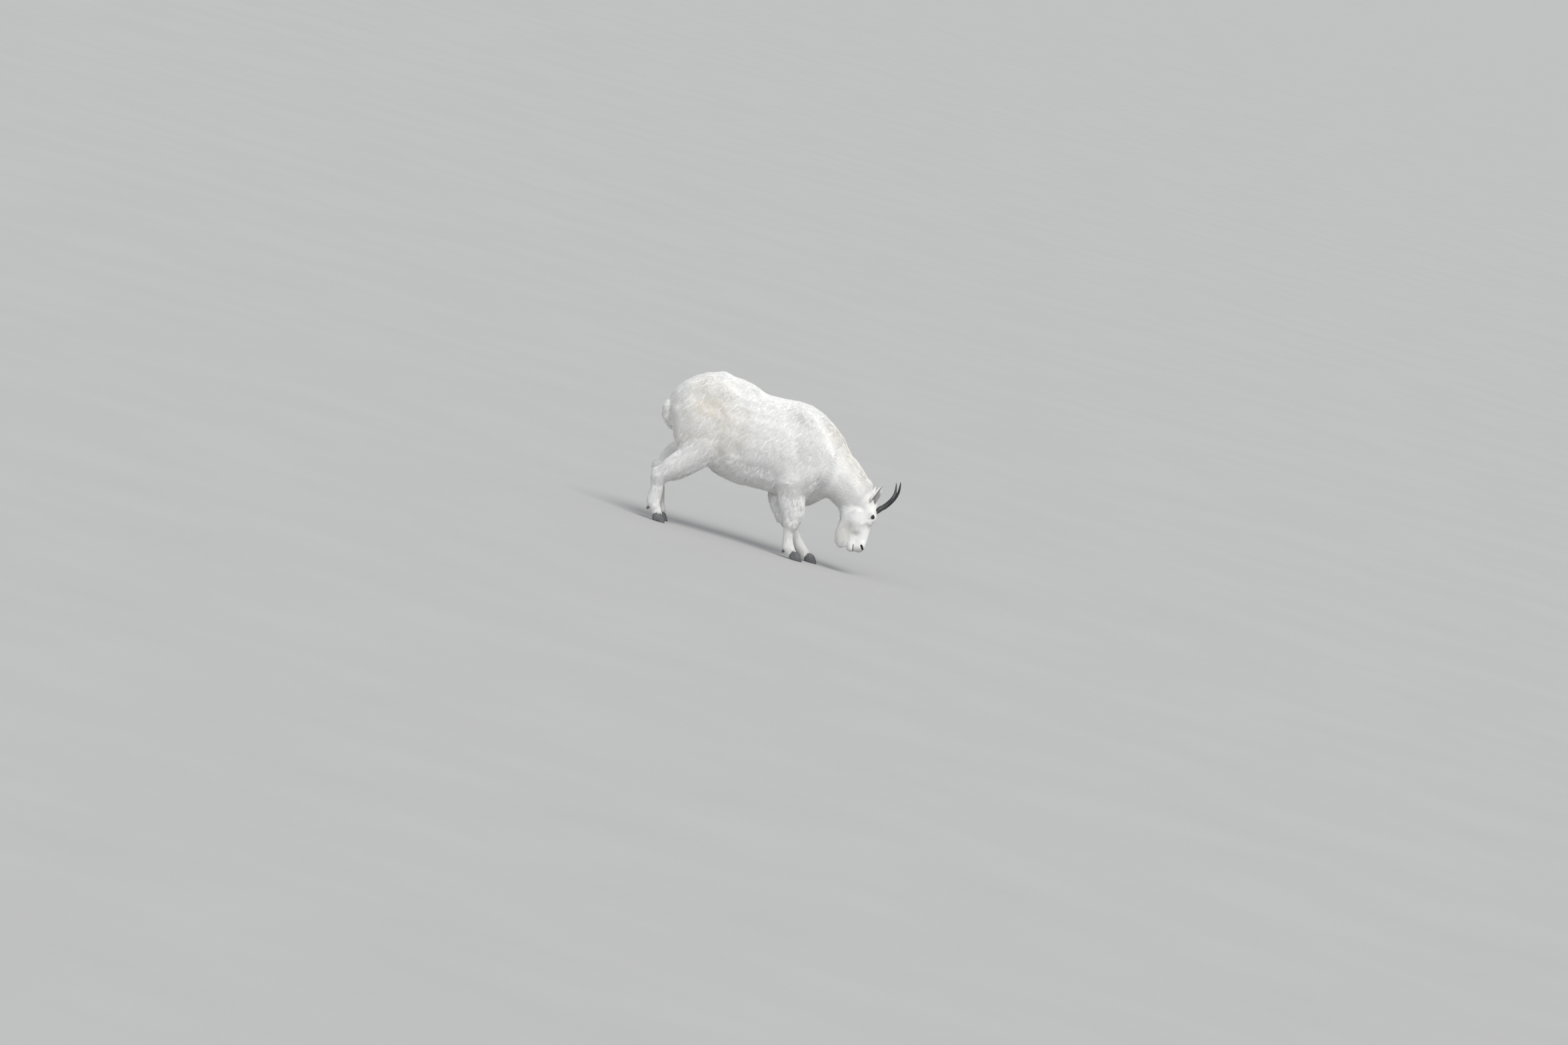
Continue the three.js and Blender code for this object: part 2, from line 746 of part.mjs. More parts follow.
// Legs with their claws and dewclaws
const legBoxes = {
  fore: (x) => [x - 350, x + 60, 6, 500],
  hind: (x) => [x - 200, x + 290, 6, 640],
};
for (const [name, foot] of Object.entries(feet)) {
  const kind = name.split("_")[0];
  const [x0, x1, z0, z1] = legBoxes[kind](foot.x);
  const [y0, y1] = foot.side === RIGHT ? [-230, -2] : [2, 230];
  let leg = await surfaceOf(outsideBody, box(x0, x1, y0, y1, z0, z1), cubes(13, 17), 640);
  leg = leg.intersect(legBlock(name));
  const back = stand(foot.fetlock[0], foot.y, foot.fetlock[1]);
  for (const [where, out] of [
    ["outer", foot.side],
    ["inner", -foot.side],
  ]) {
    add("claw_" + name + "_" + where, claw(foot.x, foot.y, out), "hoof");
    leg = leg.subtract(claw(foot.x, foot.y, out, GAP));
    add("dewclaw_" + name + "_" + where, dewclaw(back, out), "hoof");
    leg = leg.subtract(dewclaw(back, out, GAP));
  }
  add("leg_" + name, largest(leg), "coat");
}

// The origin goes under the middle of the goat.
const bounds = new THREE.Box3().setFromObject(goat);
const centre = bounds.getCenter(new THREE.Vector3());
goat.position.set(-centre.x, -centre.y, -bounds.min.z);

export default goat;
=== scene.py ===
import math

import bmesh
import bpy
import numpy as np
from mathutils import Matrix, Vector
from mathutils.bvhtree import BVHTree
from mathutils.kdtree import KDTree


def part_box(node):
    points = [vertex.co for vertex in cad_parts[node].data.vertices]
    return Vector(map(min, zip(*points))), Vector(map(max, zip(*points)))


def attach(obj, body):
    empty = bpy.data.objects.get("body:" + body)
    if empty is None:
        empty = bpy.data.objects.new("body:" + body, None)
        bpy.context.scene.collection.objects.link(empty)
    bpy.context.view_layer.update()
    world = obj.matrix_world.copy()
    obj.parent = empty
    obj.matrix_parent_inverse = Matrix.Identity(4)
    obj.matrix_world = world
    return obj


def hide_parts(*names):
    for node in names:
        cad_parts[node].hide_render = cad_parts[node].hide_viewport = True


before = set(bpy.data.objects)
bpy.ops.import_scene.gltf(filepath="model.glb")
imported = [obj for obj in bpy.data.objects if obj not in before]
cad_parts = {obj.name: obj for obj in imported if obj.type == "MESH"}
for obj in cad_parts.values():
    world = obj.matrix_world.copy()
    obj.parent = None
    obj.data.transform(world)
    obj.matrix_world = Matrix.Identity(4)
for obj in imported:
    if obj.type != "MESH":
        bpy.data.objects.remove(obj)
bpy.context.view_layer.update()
scene = bpy.context.scene

# The goat stands level and the camera is rolled by this slope
SLOPE = math.radians(16)
ELEVATION = math.radians(4.5)
DISTANCE = 60.0
FRAME_WIDTH = 9.22  # metres across the picture at the goat
AIM = Vector((0.131, 0.0, 0.190))

# Skin
GROW = 0.0012  # closes the cuts between the solids
VOXEL = 0.0025
SKIN_FACES = 170000
FORELEGS = ["leg_fore_right", "leg_fore_left"]
HIND_LEGS = ["leg_hind_right", "leg_hind_left"]
LEGS = FORELEGS + HIND_LEGS
REGIONS = ["trunk", "neck", "head", "tail"] + LEGS

# Coat, in metres: how deep the skin lies and the tufts' length and width; lift is their slope
COAT = {
    "trunk": {"depth": 0.0055, "length": 0.030, "width": 0.0030, "lift": 0.14},
    "neck": {"depth": 0.0055, "length": 0.030, "width": 0.0030, "lift": 0.18},
    "head": {"depth": 0.0028, "length": 0.0105, "width": 0.0017, "lift": 0.20},
    "tail": {"depth": 0.0070, "length": 0.036, "width": 0.0030, "lift": 0.22},
    "leg": {"depth": 0.0045, "length": 0.022, "width": 0.0027, "lift": 0.16},
}
SPIKES = 272000  # short straight tufts of four triangles
LOCKS = 42000  # long drooping tufts of eight triangles
SPIKES_PER_PIECE = 48000
LOCKS_PER_PIECE = 24000
SOFTNESS = 0.6  # how far a tuft's outer side is shaded as the skin under it is
REACH_BACK = 0.0030  # how far a tuft's foot lies behind its root
TUFTS_PER_CLUMP = 40
HALF_PATCH = 0.0015  # half the side of a tuft's patch on the unwrap
FACE_WARMTH = 0.05
SEED = 7

# Heights above the floor of the soles and of the lowest skin and tufts
SOLE, LOWEST_SKIN, LOWEST_TUFT = 0.0002, 0.0040, 0.0008

# Eyes: the ball, the opening between the lids and how far the lids reach
BALL = 0.0143
BALL_DEEPER = 0.0015
OPENING_NOSE, OPENING_POLL = 0.0124, 0.0108
OPENING_FRONT, OPENING_BACK = 0.0080, 0.0088
LID_REACH = 0.0215

rng = np.random.default_rng(SEED)


# Arrays and meshes


def unit(v):
    return v / np.maximum(np.linalg.norm(v, axis=-1, keepdims=True), 1e-9)


def smoothstep(x, low, high):
    t = np.clip((x - low) / (high - low), 0, 1)
    return t * t * (3 - 2 * t)


def blend(first, second, share):
    """Runs from the first to the second as the share goes from 0 to 1."""
    return np.array(first) * (1 - share) + np.array(second) * share


def near(points, centre, radius):
    """1 at the centre, falling smoothly to 0 at the radius, which may differ along each axis."""
    away = np.linalg.norm((points - np.array(centre)) / np.array(radius), axis=1)
    return 1 - smoothstep(away, 0, 1)


def near_line(points, start, end, radius):
    """1 on the line from start to end, falling smoothly to 0 at the radius."""
    start, end = np.array(start), np.array(end)
    along = np.clip((points - start) @ (end - start) / ((end - start) @ (end - start)), 0, 1)
    away = np.linalg.norm(points - start - along[:, None] * (end - start), axis=1)
    return 1 - smoothstep(away, 0, radius)


def waves(points, scale, seed):
    """Smooth noise from about -1 to 1, made of sine waves that run in many directions."""
    own = np.random.default_rng(seed)
    total = np.zeros(len(points))
    for _ in range(14):
        way = unit(own.normal(size=3)) * own.uniform(0.6, 1.6) * 2 * math.pi / scale
        total += np.sin(points @ way + own.uniform(0, 2 * math.pi))
    return total / 4.2


def tangent(way, normals):
    return way - normals * np.einsum("ij,ij->i", way, normals)[:, None]


def read(items, key, size=1, kind=np.int32):
    values = np.empty(len(items) * size, kind)
    items.foreach_get(key, values)
    return values


def points_of(mesh):
    return read(mesh.vertices, "co", 3, np.float32).reshape(-1, 3).astype(float)


def put_points(mesh, points):
    mesh.vertices.foreach_set("co", points.astype(np.float32).ravel())
    mesh.update()


def normals_of(mesh):
    return read(mesh.vertex_normals, "vector", 3, np.float32).reshape(-1, 3).astype(float)


def areas_of(mesh):
    """The part of the surface that belongs to each vertex."""
    corners = read(mesh.polygons, "loop_total")
    share = np.repeat(read(mesh.polygons, "area", 1, np.float32) / corners, corners)
    return np.bincount(read(mesh.loops, "vertex_index"), share, len(mesh.vertices))


def shade_smooth(mesh):
    mesh.polygons.foreach_set("use_smooth", np.ones(len(mesh.polygons), bool))


def put_values(obj, name, values):
    attribute = obj.data.attributes.new(name, "FLOAT", "POINT")
    attribute.data.foreach_set("value", values.astype(np.float32))


def placed(name, data):
    """A new object in the scene."""
    obj = bpy.data.objects.new(name, data)
    scene.collection.objects.link(obj)
    return obj


def put_marks(obj, bare, warm=FACE_WARMTH, grey=0.0):
    """The markings, and the painted shade inside the ears, that the skin's material reads at each point."""
    for name, values in (("bare", bare), ("warm", warm), ("grey", grey), ("own", 0.5)):
        put_values(obj, name, np.full(len(obj.data.vertices), values))


def finish_piece(obj, look, slot, *nodes):
    """Gives a piece its material and its body, and hides the CAD nodes that it stands for. The slot is not
    used.
    """
    obj.data.materials.append(look)
    if nodes:
        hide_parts(*nodes)
    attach(obj, "root")


def mesh_from(name, vertices, faces):
    """A mesh object from arrays; every face has the same number of corners."""
    mesh = bpy.data.meshes.new(name)
    corners = faces.shape[1]
    mesh.vertices.add(len(vertices))
    mesh.vertices.foreach_set("co", vertices.astype(np.float32).ravel())
    mesh.loops.add(faces.size)
    mesh.loops.foreach_set("vertex_index", faces.astype(np.int32).ravel())
    mesh.polygons.add(len(faces))
    mesh.polygons.foreach_set("loop_start", np.arange(len(faces), dtype=np.int32) * corners)
    mesh.update(calc_edges=True)
    shade_smooth(mesh)
    return placed(name, mesh)


def node_mesh(node):
    """The welded points and triangles of a CAD node."""
    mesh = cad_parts[node].data
    mesh.calc_loop_triangles()
    corners = read(mesh.loop_triangles, "vertices", 3)
    points = points_of(mesh)
    keys = np.round(points * 1e6).astype(np.int64)
    _, first, inverse = np.unique(keys, axis=0, return_index=True, return_inverse=True)
    return points[first], inverse.ravel()[corners].reshape(-1, 3)


def joined_nodes(nodes, grow=0.0):
    """Copies of the CAD nodes in one set of arrays, grown outwards, with each triangle's node."""
    parts, faces, owner, start = [], [], [], 0
    for index, node in enumerate(nodes):
        points, triangles = node_mesh(node)
        a, b, c = (points[triangles[:, k]] for k in range(3))
        push = np.zeros_like(points)
        for k in range(3):
            np.add.at(push, triangles[:, k], np.cross(b - a, c - a))
        parts.append(points + unit(push) * grow)
        faces.append(triangles + start)
        owner += [index] * len(triangles)
        start += len(points)
    return np.vstack(parts), np.vstack(faces), np.array(owner)


def tree_of(nodes):
    """A search tree over CAD nodes, and which of them each of its triangles is from."""
    points, faces, owner = joined_nodes(nodes)
    return BVHTree.FromPolygons(points.tolist(), faces.tolist()), owner


def apply_modifier(obj, kind, **settings):
    """Applies a modifier that is hidden until then, so that it is worked out only once."""
    modifier = obj.modifiers.new(kind, kind)
    modifier.show_viewport = False
    for key, value in settings.items():
        setattr(modifier, key, value)
    with bpy.context.temp_override(object=obj, active_object=obj, selected_objects=[obj]):
        bpy.ops.object.modifier_apply(modifier=modifier.name)


def put_group(obj, name, weights):
    """A vertex group with the weights in steps of a tenth."""
    group = obj.vertex_groups.new(name=name)
    weights = np.round(weights, 1)
    for value in np.unique(weights):
        group.add(np.flatnonzero(weights == value).tolist(), float(value), "REPLACE")


def smooth_shape(obj, turns, weights):
    """Smooths the points of a mesh, by how much the weights say."""
    put_group(obj, "smoothed", weights)
    apply_modifier(obj, "SMOOTH", factor=0.5, iterations=turns, vertex_group="smoothed")
    obj.vertex_groups.clear()


def remeshed(name, nodes, size, grow=0.0):
    points, faces, _ = joined_nodes(nodes, grow)
    obj = mesh_from(name, points, faces)
    apply_modifier(obj, "REMESH", mode="VOXEL", voxel_size=size, use_smooth_shade=True)
    return obj


class Spread:
    """Averages values over a mesh's neighbours."""

    def __init__(self, mesh):
        ends = read(mesh.edges, "vertices", 2).reshape(-1, 2)
        both = np.vstack([ends, ends[:, ::-1]])
        order = np.argsort(both[:, 0], kind="stable")
        self.neighbour = both[order, 1]
        count = np.bincount(both[:, 0], minlength=len(mesh.vertices))
        self.start = np.concatenate([[0], np.cumsum(count)[:-1]])
        self.count = np.maximum(count, 1)[:, None].astype(np.float32)

    def average(self, values):
        return np.add.reduceat(values[self.neighbour], self.start, axis=0) / self.count

    def smooth(self, values, turns, weight=1.0):
        values = values.astype(np.float32)
        for _ in range(turns):
            values = values + np.float32(0.5) * weight * (self.average(values) - values)
        return values.astype(float)


# The head's own axes: it is turned and tilted, and its eyes give its sideways line
eye_right = sum(np.array(p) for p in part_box("eye_right")) / 2
eye_left = sum(np.array(p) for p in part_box("eye_left")) / 2
eye_middle = (eye_right + eye_left) / 2
head_side = unit(eye_left - eye_right)
head_up = np.array([-math.sin(SLOPE), 0.0, math.cos(SLOPE)])
head_up = unit(head_up - head_side * (head_up @ head_side))
head_front = np.cross(head_side, head_up)
head_axes = np.stack([head_front, head_side, head_up])


def on_head(front, side, up):
    """A way on the head from its parts forwards, to the goat's left and up towards the poll."""
    return np.array([front, side, up]) @ head_axes


def head_places(points):
    """Millimetres forwards, to the left and up from between the eyes, for each point."""
    return (points - eye_middle) @ head_axes.T * 1000


class EyeFrame:
    """Where an eye looks and how its opening lies: the long axis runs towards the nose."""

    def __init__(self, side, centre):
        self.out = unit(on_head(0.10, side, -0.12))
        self.centre = centre - self.out * BALL_DEEPER
        nose = on_head(-0.28, 0.0, -1.0)
        self.nose = unit(nose - self.out * (nose @ self.out))
        self.back = side * np.cross(self.out, self.nose)

    def flat(self, points):
        away = points - self.centre
        return away @ self.nose, away @ self.back, away @ self.out

    def at(self, nose, back, out):
        return self.centre + np.outer(nose, self.nose) + np.outer(back, self.back) + np.outer(out, self.out)


EYES = {"right": EyeFrame(-1, eye_right), "left": EyeFrame(1, eye_left)}


# Skin


def refine(obj, wanted):
    """Splits the faces in four where the wanted function says so."""
    shape = bmesh.new()
    shape.from_mesh(obj.data)
    shape.edges.ensure_lookup_table()
    middles = np.array([(e.verts[0].co + e.verts[1].co) / 2 for e in shape.edges])
    chosen = [shape.edges[i] for i in np.flatnonzero(wanted(middles))]
    bmesh.ops.subdivide_edges(shape, edges=chosen, cuts=1, use_grid_fill=True)
    shape.to_mesh(obj.data)
    shape.free()


def fine_zone(points):
    """The muzzle and the orbits, which carry the smallest shapes."""
    place = head_places(points)
    muzzle = (place[:, 2] < -138) & (place[:, 0] > -150)
    orbits = [np.linalg.norm(points - eye.centre, axis=1) < 0.027 for eye in EYES.values()]
    return muzzle | orbits[0] | orbits[1]


def build_skin():
    """The remeshed and smoothed outline of the flesh, and each region's share at every point."""
    skin = remeshed("skin", REGIONS, VOXEL, GROW)
    refine(skin, fine_zone)
    points = points_of(skin.data)
    spread = Spread(skin.data)
    tree, owner = tree_of(REGIONS)
    region = owner[[tree.find_nearest(p)[2] for p in points.tolist()]]
    share = spread.smooth(np.eye(len(REGIONS))[region], 40)
    share /= share.sum(1, keepdims=True)
    body = share[:, :2].sum(1)
    smooth_shape(skin, 18, np.ones(len(points)))
    smooth_shape(skin, 60, 1 - share[:, 2])
    smooth_shape(skin, 130, body**2)
    flat = points * [1, 0, 1]
    edge = near_line(flat, (0.20, 0, 0.84), (0.31, 0, 0.62), 0.13)
    edge = np.maximum(edge, near_line(flat, (0.31, 0, 0.62), (0.31, 0, 0.42), 0.13))
    smooth_shape(skin, 260, smoothstep(edge, 0.0, 0.5) * body)
    return skin, spread, share


def of_coat(share, key):
    return share @ np.array([COAT["leg" if name in LEGS else name][key] for name in REGIONS])


def share_of(share, *names):
    return sum(share[:, REGIONS.index(name)] for name in names)


def sculpt_body(points, share):
    """Muscles and bones that show through the coat, as moves along the normal in metres."""
    trunk = share_of(share, "trunk")
    neck = share_of(share, "neck")
    legs = share_of(share, *LEGS)
    flat = points * [1, 0, 1]
    sides = smoothstep(np.abs(points[:, 1]), 0.03, 0.10)

    # Shoulder blade, upper arm and the hollow behind them
    move = 0.0040 * near_line(flat, (0.14, 0, 0.83), (0.29, 0, 0.50), 0.060)
    move += 0.0070 * near(flat, (0.185, 0, 0.47), (0.10, 1, 0.11))
    move -= 0.0065 * near_line(flat, (0.055, 0, 0.78), (0.075, 0, 0.46), 0.065)
    # Hip bone, thigh and the hollow of the flank in front of them
    move += 0.0070 * near(flat, (-0.375, 0, 0.835), (0.075, 1, 0.060))
    move += 0.0070 * near(flat, (-0.475, 0, 0.61), (0.13, 1, 0.17))
    move -= 0.0110 * near_line(flat, (-0.285, 0, 0.73), (-0.265, 0, 0.52), 0.075)
    move += 0.0050 * near(flat, (-0.615, 0, 0.74), (0.05, 1, 0.08))
    # Ribs, faint and slanting
    rib = np.sin((points[:, 0] + 0.32 * points[:, 2]) * 2 * math.pi / 0.050)
    move += 0.0003 * rib * near(flat, (-0.06, 0, 0.60), (0.22, 1, 0.20))
    move *= sides * (trunk + 0.6 * legs)
    # The neck's muscle under the mane, and the groove below it
    move += 0.0045 * neck * near_line(flat, (0.50, 0, 0.50), (0.27, 0, 0.68), 0.060) * sides
    move -= 0.0025 * neck * near_line(flat, (0.46, 0, 0.42), (0.34, 0, 0.46), 0.050) * sides
    # The soft step from the shoulder down to the neck
    move += 0.0060 * (neck + trunk) * near_line(flat, (0.34, 0, 0.66), (0.31, 0, 0.44), 0.050) * sides
    # Sinews behind the cannons, and the large slow unevenness of the coat
    low = (1 - smoothstep(points[:, 2], 0.17, 0.21)) * smoothstep(points[:, 2], 0.06, 0.09)
    for leg in LEGS:
        mine = low * share_of(share, leg)
        middle = np.average(points[mine > 0.5], axis=0)
        band = np.abs(points[:, 0] - middle[0] + 0.010)
        move -= 0.0018 * mine * (1 - smoothstep(band, 0.003, 0.012)) * legs
    move += 0.0011 * waves(points, 0.17, 3) * (trunk + 0.5 * neck + 0.2 * legs)
    return move


def sculpt_head(points, normals):
    """The face, as moves in metres, with how bare and dark it is at each point."""
    place = head_places(points)
    mirrored = np.stack([place[:, 0], np.abs(place[:, 1]), place[:, 2]], axis=1)
    # Cheek bone under the eye, the jaw muscle, and the soft side between it and the muzzle
    rise = 0.0030 * near_line(mirrored, (-22, 55, -30), (-60, 50, -46), 16)
    rise += 0.0035 * near(mirrored, (-112, 50, -22), (38, 34, 40))
    rise += 0.0020 * near(mirrored, (-88, 40, -93), (40, 26, 30))
    rise -= 0.0012 * near(mirrored, (-30, 36, -78), (22, 24, 34))
    # Bridge of the nose, flat on top with an edge along each side
    rise -= 0.0015 * near(mirrored, (-8, 0, -70), (26, 16, 70))
    rise += 0.0016 * near_line(mirrored, (-14, 24, -60), (-40, 24, -140), 12)
    # Wings of the nose, both lips, the groove under the nose and the chin
    rise += 0.0030 * near(mirrored, (-60, 36, -168), (18, 18, 24))
    rise += 0.0020 * near(mirrored, (-96, 26, -178), (14, 20, 22))
    rise += 0.0022 * near(mirrored, (-130, 20, -180), (16, 20, 16))
    rise -= 0.0030 * near_line(mirrored, (-52, 0, -184), (-92, 0, -200), 7)
    move = normals * rise[:, None]

    # Nostrils: slits that slant from the sides down to the bare pad, and go in towards the middle
    top, middle, foot = (-67, 37, -167), (-62, 36, -181), (-57, 24, -191)
    slit = np.maximum(near_line(mirrored, top, middle, 12), near_line(mirrored, middle, foot, 12))
    nostril = smoothstep(slit * smoothstep(mirrored[:, 1], 10, 17), 0.12, 0.55)
    inward = np.outer(-np.sign(place[:, 1]), head_side) * 0.85 + head_up * 0.30
    move += inward * (0.0095 * nostril)[:, None]
    # The mouth is a slit that runs up from the lips' front to its corner
    line = place[:, 0] + 113 - 0.06 * (place[:, 2] + 150)
    mouth = (1 - smoothstep(np.abs(line), 0.8, 4.2)) * (1 - smoothstep(place[:, 2], -164, -150))
    move -= normals * (0.0050 * mouth)[:, None]
    lips = (1 - smoothstep(np.abs(np.abs(line) - 5), 0, 5)) * (1 - smoothstep(place[:, 2], -166, -152))
    move += normals * (0.0011 * lips)[:, None]

    # Orbits: the skin rises round each eye, most at the brow
    for eye in EYES.values():
        nose, back, out = eye.flat(points)
        away = np.hypot(nose, back) * 1000
        mine = out > -0.012
        brow = 1 + 0.35 * smoothstep(back * 1000, -4, 14) + 0.25 * smoothstep(-nose * 1000, 0, 16)
        ring = (1 - smoothstep(away, 21, 36)) * smoothstep(away, 9, 15) * mine
        move += np.outer(0.0032 * ring * brow, eye.out)
        on_lids = np.stack([nose, back, 0 * out], axis=1) * 1000
        tear = near_line(on_lids, (15, -1, 0), (34, -3, 0), 5)
        move -= np.outer(0.0022 * tear * mine, eye.out)

    bare = np.maximum(smoothstep(nostril, 0.12, 0.5), smoothstep(mouth, 0.15, 0.5))
    pad = near(mirrored, (-50, 0, -189), (14, 36, 11))
    groove = near_line(mirrored, (-50, 0, -188), (-84, 0, -204), 6)
    bare = np.maximum(bare, 0.985 * smoothstep(pad, 0.12, 0.50))
    bare = np.maximum(bare, 0.97 * smoothstep(groove, 0.2, 0.7))
    return move, bare


# Lie and length of the hair


def hanging(place):
    """Where the hair of the beard and chin hangs."""
    beard = smoothstep(near(place, (-184, 0, -104), (66, 45, 92)), 0.10, 0.40)
    chin = smoothstep(-place[:, 2], 150, 185) * smoothstep(-place[:, 0], 100, 122)
    return np.maximum(beard, chin)


def lie_of_hair(points, normals, share):
    """The way that the hair runs at each point."""
    up = normals[:, 2:3]
    place = head_places(points)
    spine = smoothstep(up, 0.70, 0.97)
    rump = smoothstep(-points[:, :1], 0.50, 0.66)
    trunk = blend((-0.42, 0, -0.91), (-1.0, 0, -0.12), spine)
    trunk = blend(trunk, (-0.22, 0, -0.97), rump)
    trunk = blend(trunk, (-0.80, 0, -0.30), 0.5 * smoothstep(points[:, :1], 0.20, 0.40))
    neck = blend((-0.86, 0, 0.05), (-0.80, 0, 0.50), spine)
    neck = blend(neck, (-0.50, 0, -0.80), smoothstep(-up, 0.0, 0.7))
    head = blend(on_head(-0.72, 0, 0.66), on_head(0.15, 0, 1.0), smoothstep(place[:, :1], -64, -8))
    head = blend(head, (0.22, 0, -0.97), hanging(place)[:, None])
    ways = {"trunk": trunk, "neck": neck, "head": head, "tail": np.array([[-0.12, 0.0, -1.0]])}
    for leg in LEGS:
        upper = (-0.38 if "hind" in leg else -0.05, 0, -0.93)
        ways[leg] = blend((0.03, 0, -1.0), upper, smoothstep(points[:, 2:3], 0.30, 0.42))
    way = sum(share[:, i : i + 1] * ways[name] for i, name in enumerate(REGIONS))
    swirl = np.stack([waves(points, 0.16, 11), waves(points, 0.18, 12), waves(points, 0.16, 13)], axis=1)
    small = np.stack([waves(points, 0.03, 14), waves(points, 0.035, 15), waves(points, 0.03, 16)], axis=1)
    return way + (0.12 * swirl + 0.07 * small) * (1 - 0.5 * share_of(share, "head"))[:, None]


def length_of_hair(points, normals, share):
    length = of_coat(share, "length")
    place = head_places(points)
    head = share_of(share, "head")
    # Face: shortest on the nose and lips, longer on the cheek and jaw, longest in the beard
    muzzle = smoothstep(-place[:, 2], 70, 160)
    length = length * (1 - 0.45 * muzzle * head)
    length += 0.007 * head * smoothstep(-place[:, 0], 50, 110) * (1 - muzzle)
    length *= 1 - 0.5 * near_line(place * [1, 0, 1], (-110, 0, -145), (-116, 0, -200), 12)
    beard = near(place, (-184, 0, -104), (66, 45, 90))
    length += 0.022 * smoothstep(beard, 0.05, 0.6)
    # A tuft on the poll, and longer hair round the foot of each ear
    length += 0.020 * near(place, (18, 0, 75), (36, 60, 46))
    length += 0.012 * head * near(np.abs(place), (20, 50, 70), (36, 30, 34))
    # Legs: long over the forearm and down the thigh's edge, short below knee and hock
    fore = share_of(share, *FORELEGS)
    hind = share_of(share, *HIND_LEGS)
    under = smoothstep(-normals[:, 2], 0.0, 0.5)
    height = points[:, 2]
    length += 0.020 * fore * smoothstep(height, 0.19, 0.22) * smoothstep(-height, -0.44, -0.34)
    length -= 0.010 * (fore + hind) * (1 - smoothstep(height, 0.17, 0.21))
    length += 0.006 * (fore + hind) * (1 - smoothstep(height, 0.075, 0.105))
    rear = smoothstep(-normals[:, 0], 0.1, 0.7)
    length += 0.020 * hind * np.maximum(under, 0.3 * rear) * smoothstep(height, 0.25, 0.32)
    # Belly, throat, mane and withers
    body = share_of(share, "trunk", "neck")
    length += 0.014 * body * under * (1 - 0.5 * share_of(share, "neck"))
    length += 0.012 * share_of(share, "neck") * smoothstep(normals[:, 2], 0.3, 0.8)
    length += 0.008 * near(points, (0.15, 0, 0.86), (0.26, 0.16, 0.16))
    return length


# Markings, shared by skin and coat


def warmth(points):
    """Where the white coat turns to cream or tan."""
    flat = points * [1, 0, 1]
    tint = 0.50 * near(flat, (-0.50, 0, 0.80), (0.18, 1, 0.16))
    tint += 0.45 * near(flat, (-0.38, 0, 0.66), (0.26, 1, 0.26))
    tint += 0.35 * near_line(flat, (0.25, 0, 0.83), (0.52, 0, 0.56), 0.10)
    tint += 0.35 * near(flat, (-0.60, 0, 0.58), (0.12, 1, 0.16))
    place = head_places(points)
    tint += 0.40 * near(place * [1, 0, 1], (-150, 0, -75), (75, 1, 80))
    return np.clip(tint * (0.75 + 0.35 * waves(points, 0.09, 21)), 0, 1)


def unwrap_places(points, region):
    """An unwrap of the skin's own shape: each region's cell has the angle round it and the way along it."""
    flat = np.zeros((len(points), 2))
    for index, name in enumerate(REGIONS):
        mine = region == index
        low, high = (np.array(p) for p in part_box(name))
        away = points[mine] - (low + high) / 2
        if name in ("trunk", "neck"):
            along = (points[mine, 0] - low[0]) / (high[0] - low[0])
            angle = np.arctan2(away[:, 1], away[:, 2])
        else:
            along = (points[mine, 2] - low[2]) / (high[2] - low[2])
            centre = np.polyval(np.polyfit(away[:, 2], away[:, 0], 2), away[:, 2])
            angle = np.arctan2(away[:, 1] - away[:, 1].mean(), away[:, 0] - centre)
        u = 0.03 + 0.94 * (angle / (2 * math.pi) + 0.5)
        v = 0.03 + 0.94 * np.clip(along, 0, 1)
        flat[mine] = np.stack([(index % 4 + u) / 4, (index // 4 + v) / 2], axis=1)
    return flat


# Tufts

# Corners of each tuft's faces: the outer side first, then the side towards the skin
SPIKE_FACES = np.array([[0, 1, 2], [1, 3, 2], [2, 3, 0], [0, 3, 1]])
SPIKE_OUTER = 3
LOCK_FACES = np.array(
    [[0, 1, 4], [0, 4, 2], [1, 3, 4], [2, 4, 5], [4, 3, 5], [0, 3, 1], [0, 2, 3], [2, 5, 3]]
)
LOCK_OUTER = 5


class Roots:
    """Where tufts grow: one row per tuft."""

    def __init__(self, **values):
        self.__dict__.update(values)

    def part(self, rows):
        return Roots(**{key: value[rows] for key, value in self.__dict__.items()})

    @staticmethod
    def joined(several):
        keys = several[0].__dict__
        return Roots(**{key: np.concatenate([getattr(r, key) for r in several]) for key in keys})

    def __len__(self):
        return len(self.root)


def short_roots(**values):
    """Roots of the short straight hair on the lids, the ears and the feet of the horns."""
    values = {"droop": 0.0, "clump": 0.0, "warm": FACE_WARMTH, "grey": 0.0, **values}
    count = len(values["root"])
    return Roots(**{key: value if np.ndim(value) else np.full(count, value) for key, value in values.items()})


def clumped(roots):
    """Bends the tufts of each small patch towards the patch's middle."""
    count = len(roots)
    centres = rng.choice(count, max(1, count // TUFTS_PER_CLUMP), replace=False)
    tree = KDTree(len(centres))
    for i, row in enumerate(centres):
        tree.insert(roots.root[row], i)
    tree.balance()
    nearest = centres[[tree.find(p)[1] for p in roots.root.tolist()]]
    pull = (roots.root[nearest] - roots.root) * roots.clump[:, None]
    pull = tangent(pull, roots.normal)
    roots.way = unit(roots.way * roots.length[:, None] + pull)


